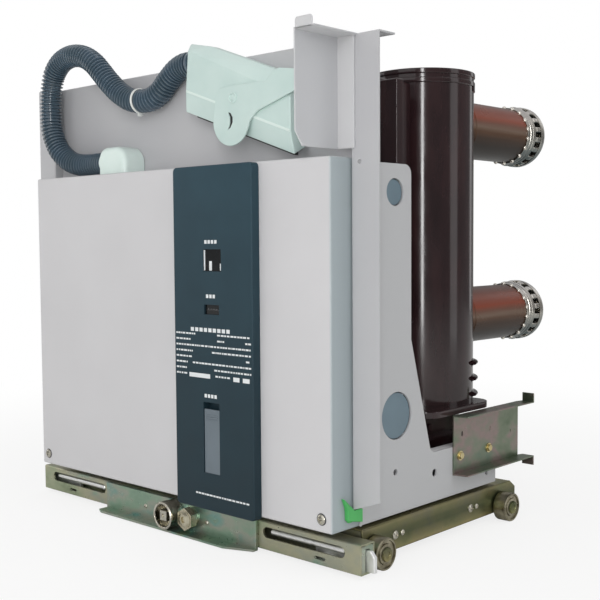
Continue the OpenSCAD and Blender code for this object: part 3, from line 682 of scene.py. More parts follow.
low, high = span("plug_body")
plugLeft, plugSeat = low.x, coverTop + 0.5


def onPlug(outline):
    # an outline that is given from the plug's left end and its seat
    return [(plugLeft + x, plugSeat + z) for x, z in outline]


plug = hullOf("plugBody", [(low.y, onPlug(plugFace)), (low.y + plugLook["ridge"], onPlug(plugBand)),
                           (low.y + plugLook["crown"], onPlug(plugBack)), (high.y, onPlug(plugBack))])
softened(plug, plugLook["edge"], 3, 8)
# a black sheet behind the plug that shows just below its lower edge: a painted shadow of the plug on the
# sheet behind
drop = plugLook["paintedShadow"]
paintedShadow = faceOn("plugPaintedShadow", onPlug([(3, 74 - drop), (180, 12.9 - drop), (180, 80), (3, 150)]),
                plugLook["paintedShadowDepth"], high.y - 0.3)
# a thin raised strip along the crease between the face and the lower band, in the paler plastic: a real edge
# whose paleness is a painted highlight
ridge = faceOn("plugRidgeHighlight", onPlug([(9, 99.6), (197, 33.2), (197, 36.6), (9, 103)]), low.y - 0.7, low.y + 1)
softened(ridge, 0.5, 2)
endDepth, endZ = hoseRoute[-1][1:]
mouth = turned("plugMouth", (plugLeft, endDepth, endZ + coverTop), "X", [
    (4, 0), (4, 16.6), (5, 17.2), (9, 17.2), (9, 0)], 40)
done(plug, "mintPlastic", nodes=["plug_body"])
done(mouth, "hoseNylon")
done(paintedShadow, "paintedShadowBlack")
done(ridge, "mintPale")

leverLook = {
    "edge": 0.8, "gap": 1.4, "middle": (120, 78), "pivot": (102, 83.3), "slot": (94.6, 54.6),
    "lobe": (98, 56, 33),       # middle and radius of the round end
    "spacer": (0.9, 0.88),      # share of the lever's width and height
}
low, high = span("plug_lever")
leverBack = high.y - leverLook["gap"]
leverOutline = (
    [(101, 98.5), (161, 98.5), (174, 109), (183, 111), (209, 107), (209, 81.5), (147, 63.5), (137, 57)]
    + arc(*leverLook["lobe"], -10, -180, 24) + [(69.5, 83.5), (79, 97.5)])
lever = faceOn("plugLever", onPlug(leverOutline), low.y, leverBack)
(midX, midZ), (wide, tall) = leverLook["middle"], leverLook["spacer"]
spacerOutline = [(midX + wide * (x - midX), midZ + tall * (z - midZ)) for x, z in leverOutline]
spacer = faceOn("leverSpacer", onPlug(spacerOutline), leverBack - 0.2, high.y + 0.5)
slotX, slotZ = plugLeft + leverLook["slot"][0], plugSeat + leverLook["slot"][1]
crescent = [(slotX + x, slotZ + z) for x, z in (
    (-3, -11), (2.5, -8.5), (6.5, -2), (6.5, 4), (3, 9.5), (-2, 11.5), (1, 5), (1.4, -2), (0, -7))]
drilled(lever, faceOn("leverSlot", crescent, low.y - 2, high.y))
shade = faceOn("leverShade", roundRect(slotX - 5, slotZ - 13, slotX + 8, slotZ + 13, 3),
               low.y + 1.6, leverBack + 0.6)
softened(lever, leverLook["edge"], 3)
pivotX, pivotZ = plugLeft + leverLook["pivot"][0], plugSeat + leverLook["pivot"][1]
pivotDish = turned("pivotDish", (pivotX, low.y, pivotZ), "Y", [
    (1, 0), (-1.2, 0), (-1.1, 2.4), (-0.4, 3.6), (0.3, 3.9), (0.3, 4.9), (-0.9, 5.2), (-1.3, 6.1),
    (-0.9, 7.2), (1, 7.6)], 40)
done(joined("plugLever", [lever, spacer, pivotDish]), "mintPlastic",
     nodes=["plug_lever"])
done(shade, "paintedShadowBlack")

print("hose and plug made, hose length", round(hoseLength, 3))


# the front cover, with the control panel on its middle

coverLook = {"fold": 2.6, "sheet": 2.0, "screwIn": 16, "screwRadius": 6.2, "ringRadius": 7.4}
low, high = span("front_cover")
cover = block("frontCover", (low.x, 0, low.z), high)
dropFaces(cover, lambda c, n: n.y > 0.9)
bevelEdges(cover, lambda a, b: min(a.y, b.y) < 1, coverLook["fold"], 4)
change(cover, "SOLIDIFY", thickness=coverLook["sheet"] / 1000, offset=-1)
cover = done(cover, "coverCoat", nodes=["front_cover"])

screwX, screwZ = high.x - coverLook["screwIn"], low.z + coverLook["screwIn"]
r = coverLook["ringRadius"]
rings = [turned("screwRing", (x, 0, screwZ), "Y", [
    (0, 5), (0, r), (-0.7, r - 0.4), (-0.9, 6.2), (-0.4, 5)], 40, True) for x in (-screwX, screwX)]
done(joined("coverScrewRings", rings), "shadeCoat")
screws = [roundHead("coverScrew", (x, -0.3, screwZ), "Y", coverLook["screwRadius"], -2.7)
          for x in (-screwX, screwX)]
done(joined("coverScrews", screws), "zincClear")

panelLook = {
    "corner": 6, "edge": 2.2,
    "window": (94.5, 359, 128.5, 387), "counter": (96, 304, 124, 316.5), "slot": (92.5, 99, 122.5, 191),
    "bars": [(66, 221.8, 106, 227.4), (149, 221.8, 160, 227.4), (166, 221.8, 178, 227.4)],
    # blank marks in rows: left end, bottom and count, with the spacing, width and height of one
    "labels": [(98, 394, 4, 6.2, 4.4, 4.6), (100, 325, 3, 6.2, 4.4, 4.6), (95, 197, 4, 6.2, 4.4, 4.6),
               (70, 281.5, 9, 8.4, 6, 5)],
    "rows": (277, 7.5, 2.2),        # height of the top row, spacing of the rows and height of their dashes
    "dashes": [[(41, 81), (120, 181)], [(41, 70), (120, 134), (171, 181)], [(41, 181)],
               [(41, 73), (110, 181)], [(41, 73), (172, 181)], [(41, 65), (73, 181)],
               [(41, 64), (114, 181)], [(41, 62), (116, 145)]],
    "foot": (76, 178, 69.5),        # ends and height of the last line
}
low, high = span("control_panel")
panel = faceOn("controlPanel", roundRect(low.x, low.z, high.x, high.z, panelLook["corner"]), low.y, high.y)
bevelEdges(panel, lambda a, b: max(a.y, b.y) < low.y + 1, panelLook["edge"], 4)
for x0, z0, x1, z1 in (panelLook["window"], panelLook["counter"], panelLook["slot"]):
    drilled(panel, block("hole", (x0, low.y - 2, z0), (x1, -2 if z1 - z0 > 60 else low.y + 5, z1)))
panel = done(panel, "panelPlastic", nodes=["control_panel"], smooth=30)

panes = [block("pane", (x0 - 0.5, low.y + 2.5, z0 - 0.5), (x1 + 0.5, low.y + 5, z1 + 0.5), 0.3)
         for x0, z0, x1, z1 in (panelLook["window"], panelLook["counter"])]
done(joined("panelPanes", panes), "paneGlass", nodes=["panel_windows"])
x0, z0, x1, z1 = panelLook["window"]
pointers = [block("pointer", (x0 + 0.2, low.y + 1.6, z0 + 1), (x0 + 2.6, low.y + 2.4, z1 - 1), 0.3),
            block("pointer", (x0 + 10, low.y + 1.9, z0 + 1), (x0 + 15, low.y + 2.4, z0 + 13), 0.3),
            block("pointer", (x1 - 4, low.y + 1.9, z0 + 1), (x1 - 1.5, low.y + 2.4, z0 + 10), 0.3)]
done(joined("windowPointers", pointers), "ruleInk")
x0, z0, x1, z1 = panelLook["counter"]
drums = [turned("drum", (x0 + 1.4 + 5.1 * i, low.y + 6.2, (z0 + z1) / 2), "X", [
    (0, 0), (0, 3.6), (0.4, 4), (4.2, 4), (4.6, 3.6), (4.6, 0)], 24) for i in range(5)]
done(joined("counterDrums", drums), "paneGlass")
flapLow, flapHigh = span("lever_flap")
flap = block("leverFlap", flapLow, flapHigh, 0.8, 3)
grips = [block("grip", (flapLow.x + 4, flapLow.y - 0.5, flapHigh.z - 8 - drop),
               (flapHigh.x - 4, flapLow.y + 1, flapHigh.z - 6.8 - drop), 0.3) for drop in (0, 3, 6)]
done(joined("leverFlap", [flap] + grips), "flapPlastic", nodes=["lever_flap"])

marks = list(panelLook["bars"])
for x, z, count, pitch, wide, tall in panelLook["labels"]:
    marks += [(x + pitch * i, z, x + pitch * i + wide, z + tall) for i in range(count)]
shuffle = random.Random(4)
topRow, pitch, tall = panelLook["rows"]
lines = [(left, right, topRow - pitch * i)
         for i, row in enumerate(panelLook["dashes"]) for left, right in row]
for x, right, z in lines + [panelLook["foot"]]:
    while x < right - 2:
        wide = min(shuffle.uniform(2, 6), right - x)
        marks.append((x, z, x + wide, z + tall))
        x += wide + shuffle.uniform(0.9, 1.8)
bars = [softened(block("bar", (x0, low.y - 0.2, z0), (x1, low.y + 0.2, z1)), 0.12, 1)
        for x0, z0, x1, z1 in marks]
done(joined("panelRules", bars), "ruleInk")
print("cover and panel made")


# the tall sheet behind the cover, and the bracket at its right end

tallLook = {
    "sheet": 2, "fold": 1.6, "topFold": 1.2,
    "wingLow": 77, "wingRise": 15,      # the wings' lower edge, and how far it climbs outwards
    "hole": (12, 488, 3),               # distance from the step, height and radius
}
low, high = span("tall_sheet")
coverHigh = span("front_cover")[1]
stepX, sheet = coverHigh.x + 2.5, tallLook["sheet"]
wingDepth, backDepth = low.y, coverHigh.y
side = [(-high.x, wingDepth), (-stepX, wingDepth), (-stepX, backDepth), (stepX, backDepth),
        (stepX, wingDepth), (high.x, wingDepth)]
back = [(high.x, wingDepth + sheet), (stepX + sheet, wingDepth + sheet), (stepX + sheet, backDepth + sheet),
        (-stepX - sheet, backDepth + sheet), (-stepX - sheet, wingDepth + sheet),
        (-high.x, wingDepth + sheet)]
tall = plan("tallSheet", side + back, low.z, high.z - sheet)
bevelEdges(tall, lambda a, b: abs(a.z - b.z) > 100 and abs(a.x) < stepX + 3, tallLook["fold"], 4)
outX, wingLow = high.x + 10, tallLook["wingLow"]
slope = tallLook["wingRise"] / (high.x - stepX)
for flip in (-1, 1):
    outline = [(flip * stepX, low.z - 5), (flip * outX, low.z - 5),
               (flip * outX, wingLow + slope * (outX - stepX)), (flip * stepX, wingLow)]
    drilled(tall, faceOn("cutter", outline, wingDepth - 5, backDepth + 5))
topFold = plan("fold", side + [(high.x, high.y), (-high.x, high.y)], high.z - sheet, high.z)
bevelEdges(topFold, lambda a, b: min(a.z, b.z) > high.z - 0.2 and max(a.y, b.y) < backDepth + 0.5,
           tallLook["topFold"], 3)
tall = joined("tallSheet", [tall, topFold])
holeIn, holeZ, size = tallLook["hole"]
for x in (stepX + holeIn, -stepX - holeIn):
    drilled(tall, rod("hole", (x, wingDepth - 5, holeZ), "Y", size, 12))
done(tall, "sheetCoat", nodes=["tall_sheet"])

bracketLook = {
    "cut": (12, 17), "flange": 29, "foot": 6, "sheet": 2, "lugInset": 3, "lugRadius": 4, "edge": 0.8,
}
low, high = span("plug_bracket")
(cutBack, cutUp), sheet = bracketLook["cut"], bracketLook["sheet"]
plateX = low.x + sheet
tallTop = span("tall_sheet")[1].z
plate = sideOn("bracketPlate", [
    (low.y + cutBack, low.z), (high.y, low.z), (high.y, tallTop), (low.y, tallTop), (low.y, low.z + cutUp)],
    low.x, plateX)
flange = block("bracketFlange", (low.x, low.y, tallTop - sheet),
               (plateX + bracketLook["flange"], high.y, tallTop))
foot = block("bracketFoot", (low.x, high.y - sheet, low.z), (stepX + bracketLook["foot"], high.y, tallTop))
lugRight, r = plateX + bracketLook["flange"] - bracketLook["lugInset"], bracketLook["lugRadius"]
lug = faceOn("bracketLug", [(plateX, tallTop - sheet), (lugRight, tallTop - sheet)]
             + arc(lugRight - r, high.z - r, r, 0, 90, 6) + arc(plateX + r, high.z - r, r, 90, 180, 6),
             low.y, low.y + sheet)
for piece in (plate, flange, foot, lug):
    softened(piece, bracketLook["edge"], 3)
bracket = joined("plugBracket", [plate, flange, foot, lug])
done(bracket, "bracketCoat", nodes=["plug_bracket"])
print("tall sheet and bracket made")


# the side plates, with their lips and the discs in their openings

plateLook = {
    "thick": 3, "slopeFrom": (197, 119.5), "slopeTo": (154, 272), "corner": 12, "bend": 10, "edge": 1.0,
    "eye": (121, 456, 17), "port": (124, 178, 30),
    "holes": [(121, 107, 4), (205, 92, 5), (330, 70, 3)],
}
low, high = span("side_plate_right")
thick = plateLook["thick"]
innerX = high.x - thick
(slopeY0, slopeZ0), (slopeY1, slopeZ1) = plateLook["slopeFrom"], plateLook["slopeTo"]
r = plateLook["corner"]
slopeWay = Vector((slopeY1 - slopeY0, slopeZ1 - slopeZ0)).normalized()
bend, corner, innerCorner = plateLook["bend"], Vector((slopeY0, slopeZ0)), []
for i in range(7):
    t = i / 6
    a, c = corner + Vector((bend, 0)), corner + slopeWay * bend
    innerCorner.append((1 - t) ** 2 * a + 2 * t * (1 - t) * corner + t * t * c)
outline = ([(low.y, low.z), (high.y, low.z), (high.y, slopeZ0)]
           + [tuple(p) for p in innerCorner] + [(slopeY1, slopeZ1)]
           + arc(slopeY1 - r, high.z - r, r, 0, 90, 8) + [(low.y, high.z)])
sidePlate = sideOn("sidePlate", outline, innerX, high.x)
for y, z, size in [plateLook["eye"], plateLook["port"]] + plateLook["holes"]:
    drilled(sidePlate, rod("hole", (innerX - 5, y, z), "X", size, 20, 48))
softened(sidePlate, plateLook["edge"], 3)
# the lip that is folded in along the slope and the top of the foot, round its inner corner
outer = [Vector((high.y, slopeZ0))] + innerCorner + [Vector((slopeY1, slopeZ1))]
inset = []
for i, p in enumerate(outer):
    way = (outer[min(i + 1, len(outer) - 1)] - outer[max(i - 1, 0)]).normalized()
    inset.append(p + Vector((-way.y, way.x)) * thick)
lip = sideOn("lip", [tuple(p) for p in outer] + [tuple(p) for p in reversed(inset)], low.x, innerX + 0.5)
softened(lip, 0.8, 2)
sidePlate.name, lip.name = "sidePlateRight", "sideLipRight"
twin, twinLip = mirrored(sidePlate, "sidePlateLeft"), mirrored(lip, "sideLipLeft")
done(sidePlate, "sheetCoat", nodes=["side_plate_right"])
done(twin, "sheetCoat", nodes=["side_plate_left"])
# the lips wear the paler coat, painted light on their top faces
done(lip, "paintedLightLipCoat")
done(twinLip, "paintedLightLipCoat")

discs = []
for y, z, size in (plateLook["eye"], plateLook["port"]):
    disc = turned("disc", (high.x, y, z), "X", [
        (-2.95, 0), (-2.95, size - 1.2), (-2.4, size - 1.2), (-2.1, size - 1.8), (-2.1, 0)], 56)
    discs += [disc, mirrored(disc, "disc")]
done(joined("sideDiscs", discs), "discPlastic", nodes=["side_discs"])

coatNodes("sheetCoat", "housing_top", "rear_wall", "housing_floor")
coatNodes("shadeCoat", "pole_shelf")
print("side plates made")


# the three poles, their arms and the contacts on the arms' ends

poleLook = {
    "radius": 72, "wall": 8, "dish": 26, "axis": 301, "web": 28, "front": 141, "foot": 162,
    "flangeHalf": 77.5, "flangeThick": 14.5, "flangeLow": 282, "flangeTop": 599, "flangeEdge": 2.2,
    "rimHeight": 7.5, "rimGap": 4.5, "rimOut": 1.5, "catch": 6,
    "skirts": (177, 199, 221), "skirtOut": 7, "backFrom": 26,
    "lipFront": 196, "lipBack": 48, "lipHeight": 9, "lipRound": 24,
    "stubHalf": 58, "boss": 40.5, "bossEnd": 376,
}
armLook = {"radius": 41.7, "root": 340, "seam": 375.5, "seamWide": 2.2, "end": 530}
tulipLook = {"fingers": 18, "bore": 24.5, "outer": 47, "mouth": 565, "collar": 516, "seat": 531, "dot": 3.4}
poleLow, poleHigh = span("pole_middle")
armHeights = [span(node)[0].z + armLook["radius"] for node in ("arm_low_middle", "arm_high_middle")]
poleXs = {side: sum(span("arm_low_" + side)[i].x for i in (0, 1)) / 2 for side in ("left", "middle", "right")}
lipHalf = (poleHigh.x - poleLow.x) / 2


def backRing(name, bottom, profile):
    # a ring on the back of the column only
    p = poleLook
    ring = turned(name, (0, p["axis"], bottom), "Z", profile, 72, True)
    wide = p["radius"] + 30
    return drilled(ring, block("front", (-wide, p["axis"] - wide, bottom - 20),
                               (wide, p["axis"] + p["backFrom"], bottom + 30)))


def buildPole(name):
    p = poleLook
    r, axis, out, rim = p["radius"], p["axis"], p["rimOut"], p["rimHeight"]
    grooveTop = poleHigh.z - rim
    grooveLow = grooveTop - p["rimGap"]
    column = turned("column", (0, axis, 0), "Z", [
        (p["foot"] + 1, 0), (p["foot"] + 1, r), (poleHigh.z - 1, r), (poleHigh.z - 1, r - p["wall"]),
        (poleHigh.z - p["dish"], r - p["wall"] - 2), (poleHigh.z - p["dish"], 0)], 96)
    web = block("web", (-p["web"], p["front"], p["foot"]), (p["web"], axis, grooveLow - rim), 3, 3)
    flange = block("flange", (-p["flangeHalf"], p["front"], p["flangeLow"]),
                   (p["flangeHalf"], p["front"] + p["flangeThick"], p["flangeTop"]), p["flangeEdge"], 4)
    shells = [column, web, flange]
    for bottom in (grooveLow - rim, grooveTop):
        shells.append(turned("rim", (0, axis, bottom), "Z", [
            (0, r - 6), (0, r - 0.2), (0.8, r + out - 0.5), (1.6, r + out), (rim - 1.2, r + out),
            (rim - 0.3, r + out - 0.6), (rim, r + out - 1.6), (rim, r - 6)], 96, True))
    bottom = grooveLow - rim - p["catch"]
    shells.append(backRing("catch", bottom, [
        (0, r - 6), (0, r + out - 0.8), (0.8, r + out), (7, r + out), (7, r - 6)]))
    for bottom in p["skirts"]:
        tip = r + p["skirtOut"]
        shells.append(backRing("skirt", bottom, [
            (-4, r - 4), (-4, r - 0.1), (-1, r + 0.8), (0.6, tip - 1.2), (1.6, tip - 0.2), (2.5, tip),
            (3.4, tip - 0.2), (4.4, tip - 1.2), (6, r + 0.8), (9, r - 0.1), (9, r - 4)]))
    lip = plan("lip", roundRect(-lipHalf, p["lipFront"], lipHalf,
                                axis + p["lipBack"], p["lipRound"], 8), p["foot"], p["foot"] + p["lipHeight"])
    softened(lip, 1.0, 2, 50)
    stub = plan("stub", [(-p["stubHalf"], 197), (p["stubHalf"], 197)] + arc(0, axis, 52.5, -10, 190, 24),
                poleLow.z, p["foot"] + 2)
    softened(stub, 1.5, 2, 50)
    shells += [lip, stub, hexHead("stubBolt", (p["stubHalf"], 236, 144), "X", 9, 4, 6)]
    for z in armHeights:
        shells.append(rod("boss", (0, axis, z), "Y", p["boss"], p["bossEnd"] - axis, 48))
    return joined(name, shells)


def buildArm(name, z):
    r, root, seam, end = armLook["radius"], armLook["root"], armLook["seam"], armLook["end"]
    wide = armLook["seamWide"]
    return turned(name, (0, 0, z), "Y", [
        (root, 0), (root, r - 2), (seam - 1, r + 0.3), (seam, r - 0.4), (seam + 0.2, r - 2.4),
        (seam + wide - 0.2, r - 2.4), (seam + wide, r - 1), (seam + wide + 1.2, r - 0.1),
        (seam + 60, r - 0.2), (end - 18, r), (end - 2, r), (end, r - 1.5), (end, 0)], 72)


def buildTulip(name, z):
    # a carrier ring with a row of spring ends, a cage of fingers with slots between, and a smooth end ring
    t, r = tulipLook, armLook["radius"]
    collar, mouth, bore, outer, count, seat = (
        t[k] for k in ("collar", "mouth", "bore", "outer", "fingers", "seat"))
    half = math.pi * outer / count * 0.5
    carrier = turned("carrier", (0, 0, z), "Y", [
        (collar + 2, r + 0.3), (collar + 2, 42.9), (collar + 2.6, 43.6), (collar + 8, 44),
        (collar + 8.5, 43.2), (collar + 9.3, 43.2), (collar + 9.8, 44), (collar + 15, 44.2),
        (collar + 15.5, 43.4), (collar + 16.3, 43.4), (collar + 16.8, 44.4), (collar + 21.5, 45.2),
        (collar + 22.3, 44.4), (collar + 22.3, 34), (mouth - 12.3, 34), (mouth - 12.3, outer - 0.8),
        (mouth - 11.5, outer), (mouth - 5, outer), (mouth - 2.4, outer - 0.8), (mouth - 0.8, outer - 2.6),
        (mouth, outer - 5), (mouth, bore + 9), (mouth - 4, bore + 6), (seat, bore + 6), (seat, r + 0.3)],
        80, True)
    finger = sideOn("finger", [(y, z + height) for y, height in [
        (collar + 21, 36), (collar + 21, 43), (collar + 22.5, 45.6), (collar + 26, outer),
        (mouth - 16, outer), (mouth - 13.5, outer - 1), (mouth - 12, 43), (mouth - 12, 36)]], -half, half)
    softened(finger, 1.7, 3, 30)
    rail = sideOn("rail", [(y, z + height) for y, height in [
        (mouth - 0.6, bore + 9.5), (mouth - 2, bore + 6), (mouth - 8, bore + 0.6), (mouth - 16, bore + 0.6),
        (mouth - 22, bore + 4), (seat, bore + 4), (seat, bore + 8)]], -2.6, 2.6)
    softened(rail, 0.5, 1, 30)
    clearPick()
    bpy.ops.mesh.primitive_uv_sphere_add(segments=14, ring_count=8, radius=t["dot"] / 1000,
                                         location=spot(0, collar + 2, z + 42.4))
    dot = settle(bpy.context.object)
    shells = [carrier]
    for piece in (finger, rail, dot):
        openEdit(piece)
        bpy.ops.mesh.select_all(action="SELECT")
        bpy.ops.mesh.spin(steps=count - 1, dupli=True, use_auto_merge=False,
                          angle=math.tau * (count - 1) / count, center=spot(0, 0, z), axis=ways["Y"])
        closeEdit()
        if piece != dot:
            shells.append(piece)
    shells.append(turned("core", (0, 0, z), "Y", [
        (seat, 20), (seat, bore + 6.5), (mouth - 24, bore + 6.5), (seat + 4, bore + 4.4), (seat + 3, 20)],
        52, True))
    return joined(name, shells), dot


poleMade = buildPole("pole")
armsMade = {level: buildArm("arm", z) for level, z in zip(("low", "high"), armHeights)}
tulipMade, dotsMade = buildTulip("tulip", armHeights[0])
for side, x in poleXs.items():
    label = side.capitalize()
    done(copied(poleMade, "pole" + label, (x, 0, 0)), "poleEpoxy",
         nodes=["pole_" + side], smooth=40)
    for level, z in zip(("low", "high"), armHeights):
        place = level.capitalize() + label
        rise = (x, 0, z - armHeights[0])
        done(copied(armsMade[level], "arm" + place, (x, 0, 0)), "armEpoxy",
             nodes=[f"arm_{level}_{side}"])
        done(copied(tulipMade, "tulip" + place, rise), "silverPlate",
             nodes=[f"tulip_{level}_{side}"])
        done(copied(dotsMade, "tulipEnds" + place, rise), "silverDot")
for piece in [poleMade, tulipMade, dotsMade] + list(armsMade.values()):
    bpy.data.objects.remove(piece)
print("poles, arms and contacts made")


# the shutter brackets on both sides, and the guides at the cover's corners

shutterLook = {
    "sheet": 2, "webEnd": 410, "webLow": 81, "webTop": 162, "edge": 0.8, "taper": 10,
    "bolts": [(261, 106), (331, 106)],
    "slot": (266, 135, 1.8, 3.4), "dents": [(334, 133, 3.2), (388, 122, 2.4)],
}
low, high = span("shutter_bracket_right")
sheet, webLow, webTop, webEnd = (shutterLook[k] for k in ("sheet", "webLow", "webTop", "webEnd"))
web = sideOn("web", [(low.y, webLow), (webEnd, webLow), (webEnd, webTop), (low.y, webTop)],
             low.x, low.x + sheet)
y, z, wide, tall = shutterLook["slot"]
drilled(web, sideOn("slot", roundRect(y - wide, z - tall, y + wide, z + tall, wide - 0.1, 5),
                    low.x - 5, low.x + 5))
# a black sheet behind the slot so that it reads dark: painted shadow inside the slot
slotShadowSheet = sideOn("shutterSlotShadowRight", roundRect(y - 3, z - 5, y + 3, z + 5, 1, 3), low.x + 0.1, low.x + 0.7)
done(mirrored(slotShadowSheet, "shutterSlotShadowLeft"), "paintedShadowBlack")
done(slotShadowSheet, "paintedShadowBlack")
for y, z, size in shutterLook["dents"]:
    drilled(web, rod("dent", (low.x + 1.3, y, z), "X", size, 5))
shells = [web]
for bottom in (webLow, webTop - sheet):
    shells.append(plan("flange", [
        (low.x, low.y), (high.x, low.y + 4), (high.x, high.y), (low.x + 3, high.y),
        (low.x, high.y - shutterLook["taper"])], bottom, bottom + sheet))
hooks = ((webTop - sheet, high.z), (low.z, webLow + sheet))
shells += [block("hook", (low.x + 3, high.y - sheet, z0), (high.x, high.y, z1)) for z0, z1 in hooks]
for piece in shells:
    softened(piece, shutterLook["edge"], 3)
bracket = joined("shutterBracketRight", shells)
bolts = [hexHead("bolt", (low.x + sheet, y, z), "X", 8.6, 4, 6.6) for y, z in shutterLook["bolts"]]
bolts = joined("shutterBoltsRight", bolts)
done(mirrored(bracket, "shutterBracketLeft"), "zincPink",
     nodes=["shutter_bracket_left"])
done(mirrored(bolts, "shutterBoltsLeft"), "brassBolt")
done(bracket, "zincPink", nodes=["shutter_bracket_right"])
done(bolts, "brassBolt")

guideLook = {"wide": 6, "edge": 1.0}
low, high = span("corner_guides")
sideX = high.x - guideLook["wide"]
guide = sideOn("guide", [
    (16, 94), (33, 79), (35, 76.7), (50, 76.7), (50, 60), (23, 66), (22, 81)], sideX, high.x)
softened(guide, guideLook["edge"], 3)
clip = block("clip", (sideX, 26, 63), (high.x - 1.5, 32, 72), 0.8)
guide = joined("cornerGuide", [guide, clip])
done(joined("cornerGuides", [guide, mirrored(guide, "twin")]), "greenNylon",
     nodes=["corner_guides"])
print("shutter brackets and guides made")


# the truck's channels, its wheels and the nut on its plate

truckLook = {
    "thick": 3, "lip": 25, "bottom": 11, "top": 50, "cut": (14, 10), "edge": 1.4,
    "bolts": (114, 282), "boltZ": 30,
}
wheelLook = {"radius": 20, "axle": 6, "hub": 12.5}
channelLow, channelHigh = span("truck_side_right")
wheelLow, wheelHigh = span("wheel_front_right")
channelX = coverHigh.x + 5
axleZ = wheelLook["radius"]
axleDepths = [sum(span("wheel_" + row + "_right")[i].y for i in (0, 1)) / 2 for row in ("front", "rear")]
thick, (cutBack, cutDown) = truckLook["thick"], truckLook["cut"]
bottom, top, start, end = truckLook["bottom"], truckLook["top"], channelLow.y, channelHigh.y
web = sideOn("web", [
    (start, bottom), (end, bottom), (end, top - cutDown), (end - cutBack, top), (start, top)],
    channelX - thick, channelX)
shells = [web]
for z in (bottom, top - thick):
    shells.append(block("flange", (channelX - truckLook["lip"], start, z),
                        (channelX, end - cutBack, z + thick)))
for piece in shells:
    softened(piece, truckLook["edge"], 3)
hubIn, hubOut, axle = wheelLow.x - channelX, wheelHigh.x - channelX, wheelLook["axle"]
for y in axleDepths:
    shells.append(turned("axle", (channelX, y, axleZ), "X", [
        (-0.5, 0), (-0.5, 10), (hubIn - 0.5, 10), (hubIn - 0.5, axle), (hubOut + 0.5, axle),
        (hubOut + 0.5, 9), (hubOut + 2.4, 8.4), (hubOut + 3, 7.4), (hubOut + 3, 4), (hubOut + 2, 3.4),
        (hubOut + 2, 0)], 40))
channel = joined("truckSideRight", shells)
boltZ = truckLook["boltZ"]
bolts = [roundHead("bolt", (channelX, y, boltZ), "X", 5.5, 3) for y in truckLook["bolts"]]
bolts += [roundHead("bolt", (channelX, y + 15, boltZ), "X", 3.6, 2.4) for y in truckLook["bolts"]]
bolts = joined("truckBoltsRight", bolts)
done(mirrored(channel, "truckSideLeft"), "zincChannel", nodes=["truck_side_left"])
done(mirrored(bolts, "truckBoltsLeft"), "zincClear")
done(channel, "zincChannel", nodes=["truck_side_right"])
done(bolts, "zincClear")

width, r, hub = wheelHigh.x - wheelLow.x, wheelLook["radius"], wheelLook["hub"]
bore = axle + 0.1
wheel = turned("wheel", (wheelLow.x, 0, axleZ), "X", [
    (0, bore), (0, hub), (1.6, hub + 0.6), (1.6, r - 3.4), (0, r - 2.8), (0, r - 1.4), (0.5, r - 0.4),
    (1.5, r), (width - 1.5, r), (width - 0.5, r - 0.4), (width, r - 1.4), (width, r - 2.8),
    (width - 1.8, r - 3.4), (width - 1.8, hub + 0.6), (width - 0.2, hub), (width, hub - 0.6),
    (width, bore)], 64, True)
for row, y in zip(("front", "rear"), axleDepths):
    rightWheel = copied(wheel, "wheel" + row.capitalize() + "Right", (0, y, 0))
    leftWheel = mirrored(rightWheel, "wheel" + row.capitalize() + "Left")
    for piece, side in ((leftWheel, "left"), (rightWheel, "right")):
        done(piece, "wheelSteel", f"wheel_{row[0]}{side[0]}", [f"wheel_{row}_{side}"])
bpy.data.objects.remove(wheel)

coatNodes("zincYellow", "truck_front", "truck_rear", "truck_top_plate", "guide_rail_left", "guide_rail_right")
low, high = span("screw_nut")
nut = block("screwNut", low, high, 1.5, 3)
screwZ = (span("racking_screw")[0].z + span("racking_screw")[1].z) / 2
drilled(nut, rod("hole", (0, low.y - 5, screwZ), "Y", 10.1, high.y - low.y + 10, 48))
nutBolts = [hexHead("bolt", (x, high.y, z), "Y", 6, 2.5) for x in (-17, 17) for z in (17, 41)]
done(joined("screwNut", [nut] + nutBolts), "nutBronze", nodes=["screw_nut"])
print("truck and wheels made")


# the racking beam with its plate, sleeve, hexagon, screw and latches

beamLook = {
    "thick": 3, "edge": 2.0, "slot": (166, 302, 21, 35),
    "drains": (262, -250),          # middles of the small slots
    "drain": (9, 11.5, 15.5),       # half the length, bottom and top of one
    "bore": 14.1, "screwAt": (65, 21.7),
}
low, high = span("racking_beam")
thick, bore = beamLook["thick"], beamLook["bore"]
beam = block("rackingBeam", low, high)
dropFaces(beam, lambda c, n: abs(n.x) > 0.9)
bevelEdges(beam, lambda a, b: abs(a.x - b.x) > 100, beamLook["edge"], 4)
change(beam, "SOLIDIFY", thickness=thick / 1000, offset=-1)
x0, x1, z0, z1 = beamLook["slot"]
for flip in (-1, 1):
    a, b = sorted((flip * x0, flip * x1))
    drilled(beam, faceOn("slot", roundRect(a, z0, b, z1, (z1 - z0) / 2 - 0.1, 6),
                         low.y - 5, low.y + thick + 2))
wide, z0, z1 = beamLook["drain"]
for x in beamLook["drains"]:
    drilled(beam, faceOn("slot", roundRect(x - wide, z0, x + wide, z1, 1.9, 4), low.y - 5, low.y + thick + 2))
drilled(beam, rod("hole", (0, low.y - 5, screwZ), "Y", bore, 40, 48))
softened(beam, 0.4, 2, 50)
done(beam, "zincBeam", "beam", ["racking_beam"])
tongueLow, tongueHigh = span("latch_right")
gapFront, gapBack = tongueHigh.y - 7, tongueHigh.y + 1
endLow, endHigh = low.z + 1, high.z - 1
ends = [block("end", (high.x - 2, y0, z0), (high.x, y1, z1), 0.3, 1) for y0, z0, y1, z1 in (
    (low.y + 1, endLow, gapFront, endHigh), (gapBack, endLow, high.y - 1, endHigh),
    (gapFront - 0.5, tongueHigh.z + 1, gapBack + 0.5, endHigh),
    (gapFront - 0.5, endLow, gapBack + 0.5, tongueLow.z - 0.8))]
ends = joined("beamEndRight", ends)
done(mirrored(ends, "beamEndLeft"), "zincGreen", "beam")
done(ends, "zincGreen", "beam")

